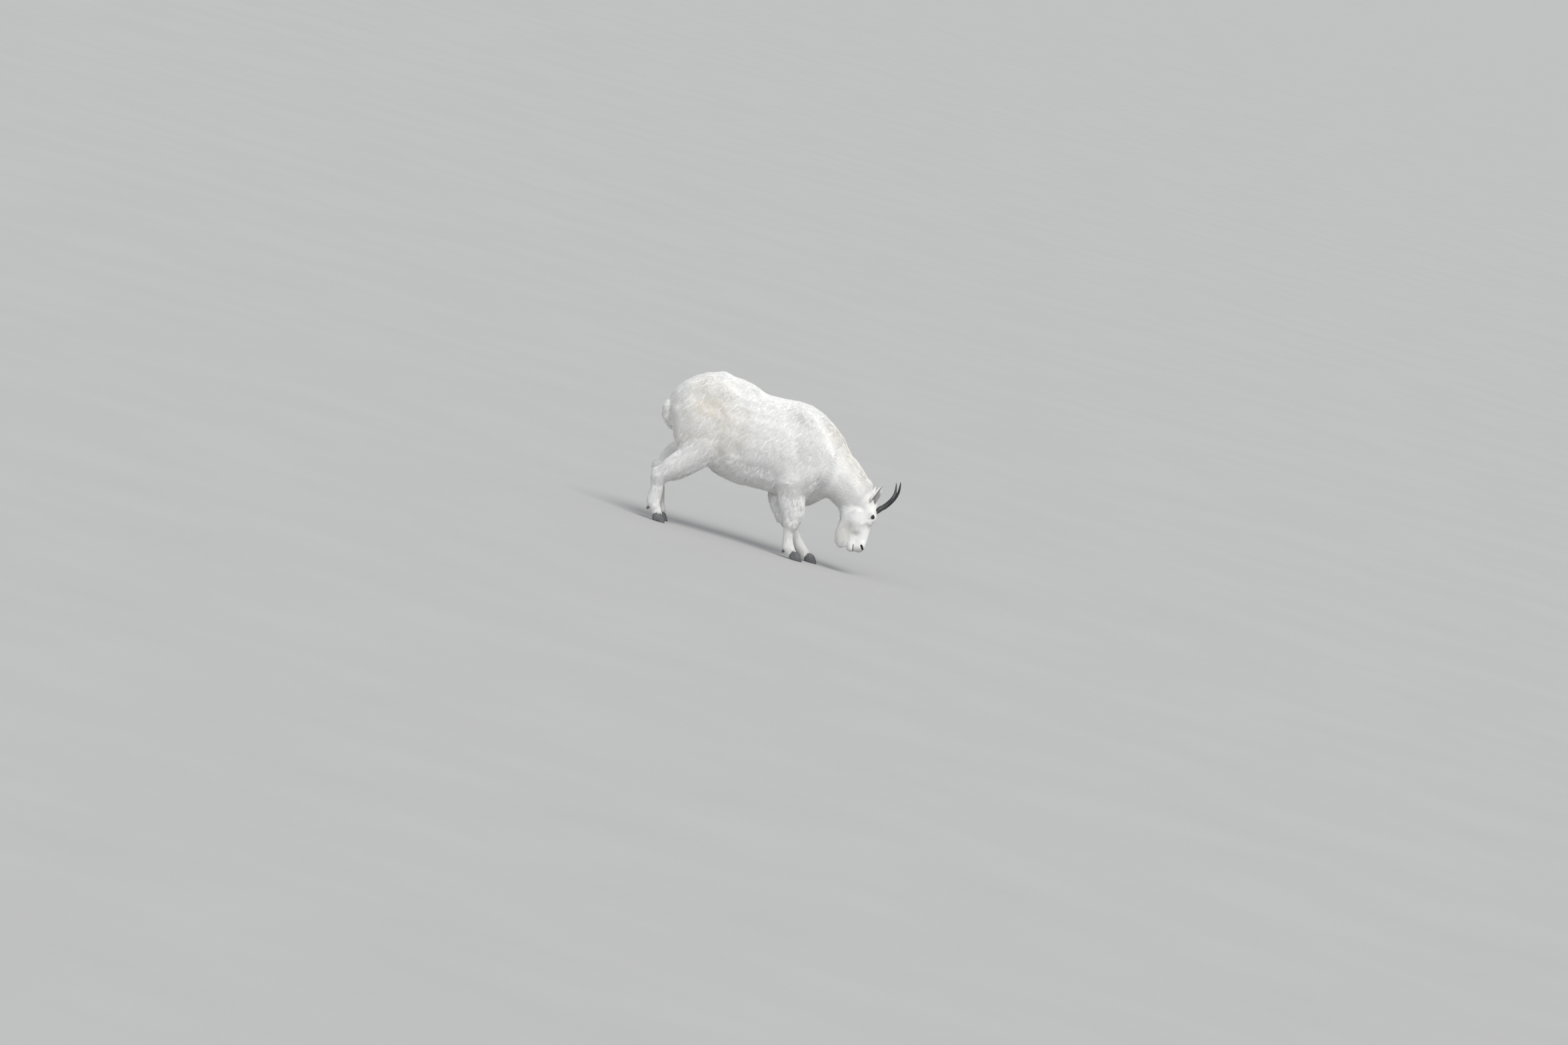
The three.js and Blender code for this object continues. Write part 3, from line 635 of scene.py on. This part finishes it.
def tufts(name, roots, locks):
    """Closed tufts on the roots, with the attributes and the unwrap that they share."""
    count = len(roots)
    root, normal, way, length = roots.root, roots.normal, roots.way, roots.length[:, None]
    half = roots.width[:, None] / 2
    lift = roots.lift[:, None]
    side = unit(np.cross(way, normal))
    base = root - way * REACH_BACK
    foot = side * half * (0.9 if locks else 1.0)
    sink = normal * (0.0005 + 0.7 * half)
    drop = np.outer(roots.droop, (0, 0, -1)) * length
    tip = root + way * length + normal * length * lift * (0.60 if locks else 0.75) + drop
    ahead = way * 0.6 + normal * 0.4
    if locks:
        middle = root + way * length * 0.48 + normal * length * lift * 0.50 + drop * 0.25
        upper = [
            middle - side * half - normal * half * 0.25,
            middle + side * half - normal * half * 0.25,
            middle + normal * half * 0.6,
        ]
        leans = [-side, side, -side, side, normal, ahead]
        faces, outer, along = LOCK_FACES, LOCK_OUTER, [0.0, 0.0, 0.5, 0.5, 0.5, 1.0]
        patch = [[-1, -1], [1, -1], [-0.8, 0.1], [0.8, 0.1], [0, 0.2], [0, 1]]
    else:
        upper = [base + normal * 0.0003]
        leans = [-side, side, normal, ahead]
        faces, outer, along = SPIKE_FACES, SPIKE_OUTER, [0.0, 0.0, 0.0, 1.0]
        patch = [[-1, -1], [1, -1], [0, -0.6], [0, 1]]
    corners = [base - foot - sink, base + foot - sink, *upper, tip]
    size = len(corners)
    vertices = np.stack(corners, axis=1).reshape(-1, 3)
    vertices[:, 2] = np.maximum(vertices[:, 2], LOWEST_TUFT)
    triangles = (np.arange(count)[:, None, None] * size + faces).reshape(-1, 3)
    obj = mesh_from(name, vertices, triangles)
    own = np.stack(leans, axis=1)[:, faces]
    shading = own * (1 - SOFTNESS) + normal[:, None, None] * SOFTNESS
    shading[:, outer:] = own[:, outer:] * 0.4 - normal[:, None, None]
    obj.data.normals_split_custom_set(unit(shading.reshape(-1, 3)).tolist())
    uv = (roots.place[:, None, :] + HALF_PATCH * np.array(patch)).reshape(-1, 2)
    layer = obj.data.uv_layers.new(name="OFBake")
    layer.data.foreach_set("uv", uv[triangles.ravel()].astype(np.float32).ravel())
    put_values(obj, "warm", np.repeat(roots.warm, size))
    put_values(obj, "grey", np.repeat(roots.grey, size))
    put_values(obj, "own", np.repeat(rng.uniform(0, 1, count), size))
    put_values(obj, "along", np.tile(along, count))
    return obj


# Materials

WHITE = (0.88, 0.88, 0.875, 1)
OFF_WHITE = (0.83, 0.825, 0.81, 1)
CREAM = (0.76, 0.69, 0.59, 1)
DUST = (0.70, 0.655, 0.58, 1)
# The dark grey below darkens the inside of the ears: partly their darker inner skin, partly painted shade in
# the hollow
GREY_AND_SHADE = (0.25, 0.235, 0.24, 1)
BARE = (0.014, 0.013, 0.014, 1)
HORN_DARK, HORN_PALE, HORN_WORN = (0.008, 0.008, 0.010, 1), (0.026, 0.026, 0.031, 1), (0.085, 0.082, 0.082, 1)
HOOF_DARK, HOOF_PALE, HOOF_DUST = (0.050, 0.052, 0.058, 1), (0.120, 0.122, 0.130, 1), (0.20, 0.19, 0.175, 1)
IRIS_DARK, IRIS_PALE = (0.016, 0.009, 0.005, 1), (0.060, 0.032, 0.013, 1)
EYEBALL, PUPIL = (0.012, 0.009, 0.008, 1), (0.002, 0.002, 0.0024, 1)
FLOOR_DARK, FLOOR_PALE = (0.375, 0.375, 0.37, 1), (0.39, 0.39, 0.385, 1)
BLACK, SHADE, FULL = (0, 0, 0, 1), (0.90, 0.90, 0.90, 1), (1, 1, 1, 1)


class Material:
    """A node material with short words for the nodes that it is made of."""

    def __init__(self, name, **values):
        self.made = bpy.data.materials.new(name)
        self.made.use_nodes = True
        self.nodes = self.made.node_tree.nodes
        self.links = self.made.node_tree.links
        self.shader = self.nodes["Principled BSDF"]
        for key, value in values.items():
            self.shader.inputs[key.replace("_", " ")].default_value = value

    def value(self, name):
        node = self.nodes.new("ShaderNodeAttribute")
        node.attribute_name = name
        return node.outputs["Fac"]

    def mix(self, factor, a, b, blend="MIX"):
        node = self.nodes.new("ShaderNodeMix")
        node.data_type = "RGBA"
        node.blend_type = blend
        for index, value in ((0, factor), (6, a), (7, b)):
            if isinstance(value, bpy.types.NodeSocket):
                self.links.new(value, node.inputs[index])
            else:
                node.inputs[index].default_value = value
        return node.outputs[2]

    def noise(self, scale, detail, stretch=(1, 1, 1)):
        where = self.nodes.new("ShaderNodeTexCoord")
        mapping = self.nodes.new("ShaderNodeMapping")
        mapping.inputs["Scale"].default_value = stretch
        self.links.new(where.outputs["Object"], mapping.inputs["Vector"])
        node = self.nodes.new("ShaderNodeTexNoise")
        node.inputs["Scale"].default_value = scale
        node.inputs["Detail"].default_value = detail
        self.links.new(mapping.outputs["Vector"], node.inputs["Vector"])
        return node.outputs["Fac"]

    def ramp(self, factor, *stops):
        node = self.nodes.new("ShaderNodeValToRGB")
        elements = node.color_ramp.elements
        while len(elements) < len(stops):
            elements.new(0.5)
        for element, (position, colour) in zip(elements, stops):
            element.position = position
            element.color = colour
        self.links.new(factor, node.inputs["Fac"])
        return node.outputs["Color"]

    def colour(self, socket):
        self.links.new(socket, self.shader.inputs["Base Color"])

    def bump(self, height, strength, distance):
        node = self.nodes.new("ShaderNodeBump")
        node.inputs["Strength"].default_value = strength
        node.inputs["Distance"].default_value = distance
        self.links.new(height, node.inputs["Height"])
        self.links.new(node.outputs["Normal"], self.shader.inputs["Normal"])


def fur_colour(material):
    """The coat's white and cream, and the grey inside the ears that is partly darker inner skin and partly
    painted shade, the same on skin and tufts.
    """
    white = material.mix(material.value("own"), WHITE, OFF_WHITE)
    cloud = material.noise(6.0, 4.0)
    dust = material.ramp(cloud, (0.48, BLACK), (0.80, (0.20, 0.20, 0.20, 1)))
    dusty = material.mix(dust, white, DUST)
    creamy = material.mix(material.value("warm"), dusty, CREAM)
    # The grey mix is painted shade inside the ears, over their darker inner skin
    return material.mix(material.value("grey"), creamy, GREY_AND_SHADE)


def coat_material():
    material = Material(
        "coat", Roughness=0.65, Specular_IOR_Level=0.28, Sheen_Weight=0.20, Sheen_Roughness=0.45
    )
    root_shade = material.mix(material.value("along"), SHADE, FULL)
    material.colour(material.mix(1.0, fur_colour(material), root_shade, "MULTIPLY"))
    material.bump(material.noise(900.0, 2.0, (1, 1, 0.18)), 0.30, 0.0005)
    return material.made


def skin_material():
    material = Material("skin", Roughness=0.6, Specular_IOR_Level=0.35)
    streaks = material.noise(260.0, 5.0, (1, 1, 0.10))
    shade = material.ramp(streaks, (0.30, SHADE), (0.62, FULL))
    furry = material.mix(1.0, fur_colour(material), shade, "MULTIPLY")
    material.colour(material.mix(material.value("bare"), furry, BARE))
    material.bump(streaks, 0.4, 0.0010)
    return material.made


def horn_material():
    material = Material("horn", Roughness=0.36)
    streak = material.noise(130.0, 6.0, (1, 1, 0.22))
    dark = material.ramp(streak, (0.3, HORN_DARK), (0.72, HORN_PALE))
    material.colour(material.mix(material.value("worn"), dark, HORN_WORN))
    material.bump(streak, 0.45, 0.0006)
    return material.made


def hoof_material():
    material = Material("hoof", Roughness=0.55)
    grain = material.noise(420.0, 5.0, (1, 1, 0.25))
    cloud = material.noise(22.0, 4.0)
    colour = material.ramp(grain, (0.3, HOOF_DARK), (0.72, HOOF_PALE))
    dust = material.ramp(cloud, (0.50, BLACK), (0.75, (0.55, 0.55, 0.55, 1)))
    material.colour(material.mix(dust, colour, HOOF_DUST))
    material.bump(grain, 0.3, 0.0004)
    return material.made


def eye_material():
    material = Material(
        "eye", Roughness=0.12, Specular_IOR_Level=0.35, Coat_Weight=0.35, Coat_Roughness=0.03
    )
    fibres = material.noise(1100.0, 5.0)
    brown = material.ramp(fibres, (0.35, IRIS_DARK), (0.7, IRIS_PALE))
    ball = material.mix(material.value("iris"), EYEBALL, brown)
    material.colour(material.mix(material.value("pupil"), ball, PUPIL))
    return material.made


def floor_material():
    material = Material("floor", Roughness=0.85)
    cloud = material.noise(0.9, 3.0)
    material.colour(material.ramp(cloud, (0.3, FLOOR_DARK), (0.7, FLOOR_PALE)))
    return material.made


# Eyes and lids


def grid_faces(rows, turns, closed_rows=False):
    """Triangles over rows of points that each run round a ring."""
    faces = []
    around = np.arange(turns)
    after = (around + 1) % turns
    for i in range(rows if closed_rows else rows - 1):
        low, high = i * turns, (i + 1) % rows * turns
        faces.append(np.stack([low + around, high + after, high + around], axis=1))
        faces.append(np.stack([low + around, low + after, high + after], axis=1))
    return np.vstack(faces)


def outward_faces(points, faces):
    """The faces, turned so that the solid that they close has its outside outwards."""
    a, b, c = (points[faces[:, k]] for k in range(3))
    return faces if np.einsum("ij,ij->i", a, np.cross(b, c)).sum() > 0 else faces[:, ::-1]


def eyeball(name, eye):
    """A ball with a bulging cornea, an iris and a level slot of a pupil."""
    rows, turns = 40, 56
    polar = np.linspace(0.012, math.pi - 0.012, rows)[:, None]
    around = np.arange(turns)[None] / turns * 2 * math.pi
    radius = BALL + 0.0009 * (1 - smoothstep(polar, 0.35, 0.80))
    level = unit(np.cross([0.0, 0.0, 1.0], eye.out))
    high = np.cross(eye.out, level)
    x = (np.sin(polar) * radius * np.cos(around)).ravel()
    y = (np.sin(polar) * radius * np.sin(around)).ravel()
    z = (np.cos(polar) * radius * np.ones_like(around)).ravel()
    points = eye.centre + np.outer(x, level) + np.outer(y, high) + np.outer(z, eye.out)
    ends = np.stack([points[:turns].mean(0), points[-turns:].mean(0)])
    points = np.vstack([points, ends])
    ring = np.arange(turns)
    after = (ring + 1) % turns
    last = (rows - 1) * turns
    caps = [
        np.stack([np.full(turns, rows * turns), after, ring], axis=1),
        np.stack([np.full(turns, rows * turns + 1), last + ring, last + after], axis=1),
    ]
    faces = np.vstack([grid_faces(rows, turns)] + caps)
    obj = mesh_from(name, points, outward_faces(points - eye.centre, faces))
    away = points - eye.centre
    x, y, z = away @ level, away @ high, away @ eye.out
    front = z > 0
    put_values(obj, "iris", front * (1 - smoothstep(np.hypot(x, y), 0.0088, 0.0098)))
    put_values(obj, "pupil", front * (1 - smoothstep(np.hypot(x / 0.0066, y / 0.0028), 0.85, 1.12)))
    return obj


def opening(around):
    """The edge between the lids, as places towards the nose and towards the back of the eye."""
    nose = np.cos(around)
    back = np.sin(around)
    x = np.where(nose > 0, OPENING_NOSE, OPENING_POLL) * nose
    y = np.where(back > 0, OPENING_BACK, OPENING_FRONT) * back
    return x, y * (1 - 0.28 * np.maximum(nose, 0) ** 1.5)


def lids(name, eye, skin_tree):
    """Both lids as one soft ring from the edge on the eyeball out to under the coat round it."""
    rows, turns = 18, 88
    around = np.arange(turns) / turns * 2 * math.pi
    open_x, open_y = opening(around)
    rim_x, rim_y = LID_REACH * np.cos(around), LID_REACH * 0.94 * np.sin(around)
    over = eye.at(rim_x, rim_y, np.full(turns, 0.04))
    hits = [skin_tree.ray_cast(p, (-eye.out).tolist())[0] for p in over.tolist()]
    rim = np.array([(np.array(h) - eye.centre) @ eye.out if h else 0.006 for h in hits])
    rim = np.median([np.roll(rim, k) for k in range(-4, 5)], axis=0) - 0.0012
    ball = np.sqrt((BALL + 0.0005) ** 2 - open_x**2 - open_y**2)
    upper = smoothstep(np.sin(around) - 0.6 * np.cos(around), -0.2, 0.6)
    corner = np.maximum(np.cos(around), 0) ** 8
    reach = 0.26 + 0.28 * corner + 0.05 * np.maximum(-np.cos(around), 0) ** 6
    layers, bare = [], []
    for i in range(rows):
        s = i / (rows - 1)
        x = blend(open_x, rim_x, s)
        y = blend(open_y, rim_y, s)
        margin = ball + 0.0017 * smoothstep(s, -0.02, 0.10)
        z = margin + (rim - margin) * smoothstep(s, 0.12, 1.0)
        z = z - 0.0011 * upper * math.exp(-(((s - 0.34) / 0.07) ** 2))
        z = z + 0.0009 * upper * math.exp(-(((s - 0.52) / 0.10) ** 2))
        layers.append(eye.at(x, y, z))
        bare.append(1 - smoothstep(s, reach, reach + 0.10))
    layers += [layers[-1] - eye.out * 0.008, layers[0] - eye.out * 0.004]
    bare += [np.zeros(turns), np.ones(turns)]
    points = np.vstack(layers)
    faces = outward_faces(points - eye.centre, grid_faces(rows + 2, turns, closed_rows=True))
    obj = mesh_from(name, points, faces)
    bare = np.concatenate(bare)
    put_marks(obj, bare)

    # Short hair on the lids, away from their edge
    normals = normals_of(obj.data)
    shown = np.arange(rows * turns)
    shown = shown[(bare[shown] < 0.5) & (shown // turns < rows - 1)]
    rows_of = np.repeat(shown, 2)
    root = points[rows_of] + rng.normal(size=(len(rows_of), 3)) * 0.0004
    nose, back, _ = eye.flat(root)
    away = np.outer(nose, eye.nose) * 0.8 + np.outer(back, eye.back) * 0.7
    way = unit(tangent(unit(away) - eye.nose * 0.7, normals[rows_of]))
    count = len(rows_of)
    far = smoothstep(np.hypot(nose, back), 0.012, 0.022)
    return obj, short_roots(
        root=root,
        normal=normals[rows_of],
        way=way,
        length=(0.0045 + 0.0050 * far) * rng.uniform(0.8, 1.2, count),
        width=0.0013,
        lift=rng.uniform(0.05, 0.25, count),
        place=[0.55, 0.25] + rng.uniform(-0.01, 0.01, (count, 2)),
    )


# Horns, hooves and ears


def horn_piece(name, node, skin_tree):
    """The horn, smoothed, with growth rings that fade from its foot."""
    obj = remeshed(name, [node], 0.0016)
    points = points_of(obj.data)
    foot = points[points[:, 2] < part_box(node)[0][2] + 0.02].mean(0)
    away = np.linalg.norm(points - foot, axis=1)
    axis = unit(points[(away > 0.05) & (away < 0.07)].mean(0) - foot)
    shape = Spread(obj.data).smooth(points, 22)
    across = tangent(shape - foot, np.tile(axis, (len(shape), 1)))
    shape -= across * (0.45 * (1 - smoothstep((shape - foot) @ axis, -0.010, 0.020)))[:, None]
    put_points(obj.data, shape)
    ring = np.sin(away * 2 * math.pi / 0.0082 + 0.8 * waves(points, 0.05, 5))
    rings = 1 - smoothstep(away, 0.03, 0.105)
    fine = 0.00025 * np.sin(away * 2 * math.pi / 0.0031)
    push = 0.00060 * ring * rings + fine * (1 - smoothstep(away, 0.08, 0.17)) + 0.0008
    put_points(obj.data, points_of(obj.data) + normals_of(obj.data) * push[:, None])
    put_values(obj, "worn", rings * (0.30 + 0.30 * ring) * smoothstep(away, 0.0, 0.02))

    # The coat's hair climbs a little way up the horn all round its foot
    points = points_of(obj.data)
    normals = normals_of(obj.data)
    rows = np.flatnonzero((away < 0.05) & (rng.uniform(size=len(points)) < 0.7))
    rows = np.array([i for i in rows if skin_tree.find_nearest(points[i].tolist(), 0.0032)[0]])
    count = len(rows)
    lean = axis + head_up * 0.3 + rng.normal(size=(count, 3)) * 0.12
    way = unit(tangent(lean, normals[rows]))
    return obj, short_roots(
        root=points[rows],
        normal=normals[rows],
        way=way,
        length=rng.uniform(0.007, 0.013, count),
        width=0.0015,
        lift=rng.uniform(0.04, 0.16, count),
        place=[0.65, 0.35] + rng.uniform(-0.01, 0.01, (count, 2)),
    )


def hoof_piece(name, nodes, size):
    """Claws or dewclaws, smoothed but for their flat soles, with faint growth ridges."""
    obj = remeshed(name, nodes, size)
    points = points_of(obj.data)
    sole = points[:, 2] < 0.0012
    shape = Spread(obj.data).smooth(points, 14)
    ridge = 0.00022 * np.sin(points[:, 2] * 2 * math.pi / 0.0066 + 3 * waves(points, 0.05, 8))
    put_points(obj.data, shape)
    shape = shape + normals_of(obj.data) * (ridge + 0.0004)[:, None]
    shape[sole, 2] = SOLE
    shape[:, 2] = np.maximum(shape[:, 2], SOLE)
    put_points(obj.data, shape)
    return obj


def ear_piece(name, node, side):
    """The ear's cupped leaf, smoothed and as long as before, with the hair that grows on it."""
    obj = remeshed(name, [node], 0.0018)
    points = points_of(obj.data)
    cad_points, _ = node_mesh(node)
    tip = cad_points[np.argmax(cad_points @ head_up)]
    foot = points[points @ head_up < (points @ head_up).min() + 0.02].mean(0)
    axis = unit(tip - foot)
    reach = np.linalg.norm(tip - foot)
    shape = Spread(obj.data).smooth(points, 8)
    along = (shape - foot) @ axis
    shape += np.outer(np.maximum(along, 0) * (reach / along.max() - 1), axis)
    share = np.clip((shape - foot) @ axis / reach, 0, 1)
    shape -= np.outer(0.012 * (1 - smoothstep(share, 0.0, 0.22)), head_side * side)
    put_points(obj.data, shape)
    normals = normals_of(obj.data)
    facing = unit(on_head(0.75, side * 0.65, 0.0))
    cup = smoothstep(normals @ facing, 0.10, 0.40)
    core = foot + np.outer(share * reach, axis)
    inside = cup * smoothstep(0.012 - (shape - core) @ facing, 0.0, 0.012) * smoothstep(share, 0.02, 0.15)
    lobe = smoothstep((shape - core) @ head_front, 0.003, 0.012) * smoothstep(share, 0.03, 0.15)
    inside = np.maximum(inside, lobe * (1 - smoothstep(share, 0.50, 0.72)))
    # The grey inside the cup is partly the ear's darker inner skin and partly painted shade in its hollow
    put_marks(obj, 0.0, grey=0.95 * inside * (1 - 0.3 * share))

    chance = np.where(inside > 0.5, 0.30, 1.0) * (1.0 - 0.3 * share) * (share > 0.07)
    rows = np.flatnonzero(rng.uniform(size=len(shape)) < chance)
    count = len(rows)
    outside = 1 - inside[rows]
    # The hair inside slants across from the front edge; outside it runs to the tip
    across = unit(np.cross(axis, facing)) * -side
    way = axis * (0.8 + 0.2 * outside)[:, None] + np.outer((1 - outside) * 0.5, across)
    way = unit(tangent(way, normals[rows]) + rng.normal(size=(count, 3)) * 0.06)
    length = 0.0085 + 0.0060 * (1 - outside) + 0.0035 * (1 - share[rows])
    length *= 1 - 0.45 * smoothstep(share[rows], 0.75, 1.0)
    return obj, short_roots(
        root=shape[rows],
        normal=normals[rows],
        way=way,
        length=length * rng.uniform(0.75, 1.2, count),
        width=0.0014,
        lift=rng.uniform(0.05, 0.22, count),
        # The hair inside the cup is greyed with the same painted shade
        grey=0.7 * inside[rows],
        place=np.stack([0.60 + 0.03 * share[rows], 0.30 + 0.05 * inside[rows]], axis=1),
    )


# Build

skin, spread, share = build_skin()
points = points_of(skin.data)
smooth_normals = unit(spread.smooth(normals_of(skin.data), 8))
depth = of_coat(share, "depth")
depth = depth * (1 - 0.35 * hanging(head_places(points)))
low_leg = 1 - smoothstep(points[:, 2], 0.17, 0.21)
depth -= 0.0018 * low_leg
on_the_head = smoothstep(share_of(share, "head"), 0.2, 0.8)
face_move, bare = sculpt_head(points, smooth_normals)
move = smooth_normals * (sculpt_body(points, share) * (1 - on_the_head) - depth)[:, None]
points = points + move + face_move * on_the_head[:, None]
points[:, 2] = np.maximum(points[:, 2], LOWEST_SKIN)
bare = bare * on_the_head
put_points(skin.data, points)
normals = normals_of(skin.data)
skin_tree = BVHTree.FromObject(skin, bpy.context.evaluated_depsgraph_get())

# The hair's lie, evened out and laid along the skin
way = unit(tangent(lie_of_hair(points, smooth_normals, share), smooth_normals))
even = smoothstep(share_of(share, "trunk", "neck", *FORELEGS), 0.2, 0.7)[:, None]
way = spread.smooth(way, 10)
way = spread.smooth(way, 44, (even * 0.9).astype(np.float32))
way = unit(tangent(way, normals))
length = length_of_hair(points, smooth_normals, share)
region = share.argmax(1)
warm = warmth(points)
uv_place = unwrap_places(points, region)

# How much hair grows at each point: none on bare skin, on the hooves or under the lids
grows = 1 - smoothstep(bare, 0.15, 0.45)
for eye in EYES.values():
    nose, back, out = eye.flat(points)
    grows *= np.where(out > -0.02, smoothstep(np.hypot(nose, back), 0.0165, 0.0195), 1)
claw_tree, _ = tree_of([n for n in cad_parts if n.startswith(("claw", "dewclaw"))])
for row in np.flatnonzero(points[:, 2] < 0.11):
    if claw_tree.find_nearest(points[row].tolist(), 0.0035)[0] is not None:
        grows[row] = 0
grows[(points[:, 2] < 0.03) & (normals[:, 2] < -0.4)] = 0

fringe = smoothstep(length, 0.037, 0.042)
fringe = np.maximum(fringe, share_of(share, "tail"))
length *= 1 + 0.10 * waves(points, 0.045, 17)
area = areas_of(skin.data)
head = share_of(share, "head")
density = 1 + 3.2 * head * (1 - hanging(head_places(points))) + 0.5 * low_leg


def grown(weight, count, clump, longest):
    """Roots spread over the skin, as dense as the weight says."""
    expected = weight * area * grows * density
    expected *= count / expected.sum()
    each = np.floor(expected + rng.uniform(size=len(expected))).astype(int)
    rows = np.repeat(np.arange(len(points)), each)
    total = len(rows)
    spot = rng.uniform(-0.75, 0.75, (total, 3)) * np.sqrt(area[rows])[:, None]
    spot = tangent(spot, normals[rows])
    turned = np.cross(way[rows], normals[rows]) * rng.normal(0, 0.10, total)[:, None]
    roots = Roots(
        root=points[rows] + spot,
        normal=unit(normals[rows] * 0.5 + smooth_normals[rows] * 0.5),
        way=unit(way[rows] + turned),
        length=np.minimum(length[rows], longest) * rng.uniform(0.70, 1.20, total),
        width=of_coat(share[rows], "width") * rng.uniform(0.7, 1.3, total),
        lift=of_coat(share[rows], "lift") * rng.uniform(0.3, 1.5, total),
        droop=0.10 * fringe[rows] + 0.02,
        clump=clump * (1 - 0.7 * head[rows]),
        warm=warm[rows],
        grey=np.zeros(total),
        place=uv_place[rows],
    )
    clumped(roots)
    return roots


spikes = grown(1 - 0.55 * fringe, SPIKES, 0.35, 0.036)
locks = grown(fringe, LOCKS, 0.55, 0.1)

skin_look = skin_material()
for name, eye in EYES.items():
    lid, lid_roots = lids("lids_" + name, eye, skin_tree)
    finish_piece(lid, skin_look, "coat")
    ball = eyeball("eyeball_" + name, eye)
    finish_piece(ball, eye_material(), "eye", "eye_" + name)
    horn, horn_roots = horn_piece("horn_" + name + "_piece", "horn_" + name, skin_tree)
    finish_piece(horn, horn_material(), "horn", "horn_" + name)
    ear, ear_roots = ear_piece("ear_" + name + "_piece", "ear_" + name, -1 if name == "right" else 1)
    finish_piece(ear, skin_look, "coat", "ear_" + name)
    spikes = Roots.joined([spikes, lid_roots, ear_roots, horn_roots])

# The skin's markings, and fewer faces where it is plain
put_marks(skin, bare, warm)
put_group(skin, "plain", np.where(fine_zone(points), 0.0, 1 - 0.85 * head))
triangles = sum(len(p.vertices) - 2 for p in skin.data.polygons)
apply_modifier(
    skin,
    "DECIMATE",
    ratio=SKIN_FACES / triangles,
    vertex_group="plain",
    use_collapse_triangulate=True,
)
shade_smooth(skin.data)
finish_piece(skin, skin_look, "coat", *REGIONS)

hoof_look = hoof_material()
for leg in ("fore_right", "fore_left", "hind_right", "hind_left"):
    for start, size in (("claw_", 0.0018), ("dewclaw_", 0.0014)):
        nodes = [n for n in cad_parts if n.startswith(start + leg)]
        finish_piece(hoof_piece(start + leg, nodes, size), hoof_look, "hoof", *nodes)

# The coat, in pieces that each hold tufts of one kind
coat_look = coat_material()
for kind, roots, most in (("short", spikes, SPIKES_PER_PIECE), ("long", locks, LOCKS_PER_PIECE)):
    count = math.ceil(len(roots) / most)
    order = np.argsort(roots.root[:, 0], kind="stable")
    for k in range(count):
        rows = order[k * len(order) // count : (k + 1) * len(order) // count]
        finish_piece(tufts(f"coat_{kind}_{k + 1}", roots.part(rows), kind == "long"), coat_look, "coat")

# Floor, light and camera
bpy.ops.mesh.primitive_plane_add(size=2400, location=(0, 0, 0))
floor = bpy.context.object
floor.name = "floor"
floor.data.materials.append(floor_material())

world = bpy.data.worlds.new("studio")
scene.world = world
world.use_nodes = True
background = world.node_tree.nodes["Background"].inputs
background["Color"].default_value = (0.94, 0.97, 1.0, 1)
background["Strength"].default_value = 0.66
scene.view_settings.view_transform = "Standard"


def sun(name, strength, softness, way, colour):
    light = bpy.data.lights.new(name, "SUN")
    light.energy = strength
    light.angle = math.radians(softness)
    light.color = colour
    placed(name, light).rotation_euler = Vector(way).to_track_quat("-Z", "Y").to_euler()


sun("key", 2.35, 35, (-0.30, 0.60, -0.95), (1.0, 0.985, 0.96))
sun("fill", 0.80, 60, (0.5, 0.9, -0.35), (0.95, 0.97, 1.0))

camera_data = bpy.data.cameras.new("camera")
camera_data.lens = camera_data.sensor_width * DISTANCE / FRAME_WIDTH
camera_data.clip_end = 3000
camera = placed("camera", camera_data)
where = AIM + Vector((0, -math.cos(ELEVATION), math.sin(ELEVATION))) * DISTANCE
turn = (AIM - where).to_track_quat("-Z", "Y").to_matrix().to_4x4()
camera.matrix_world = Matrix.Translation(where) @ turn @ Matrix.Rotation(SLOPE, 4, "Z")
scene.camera = camera
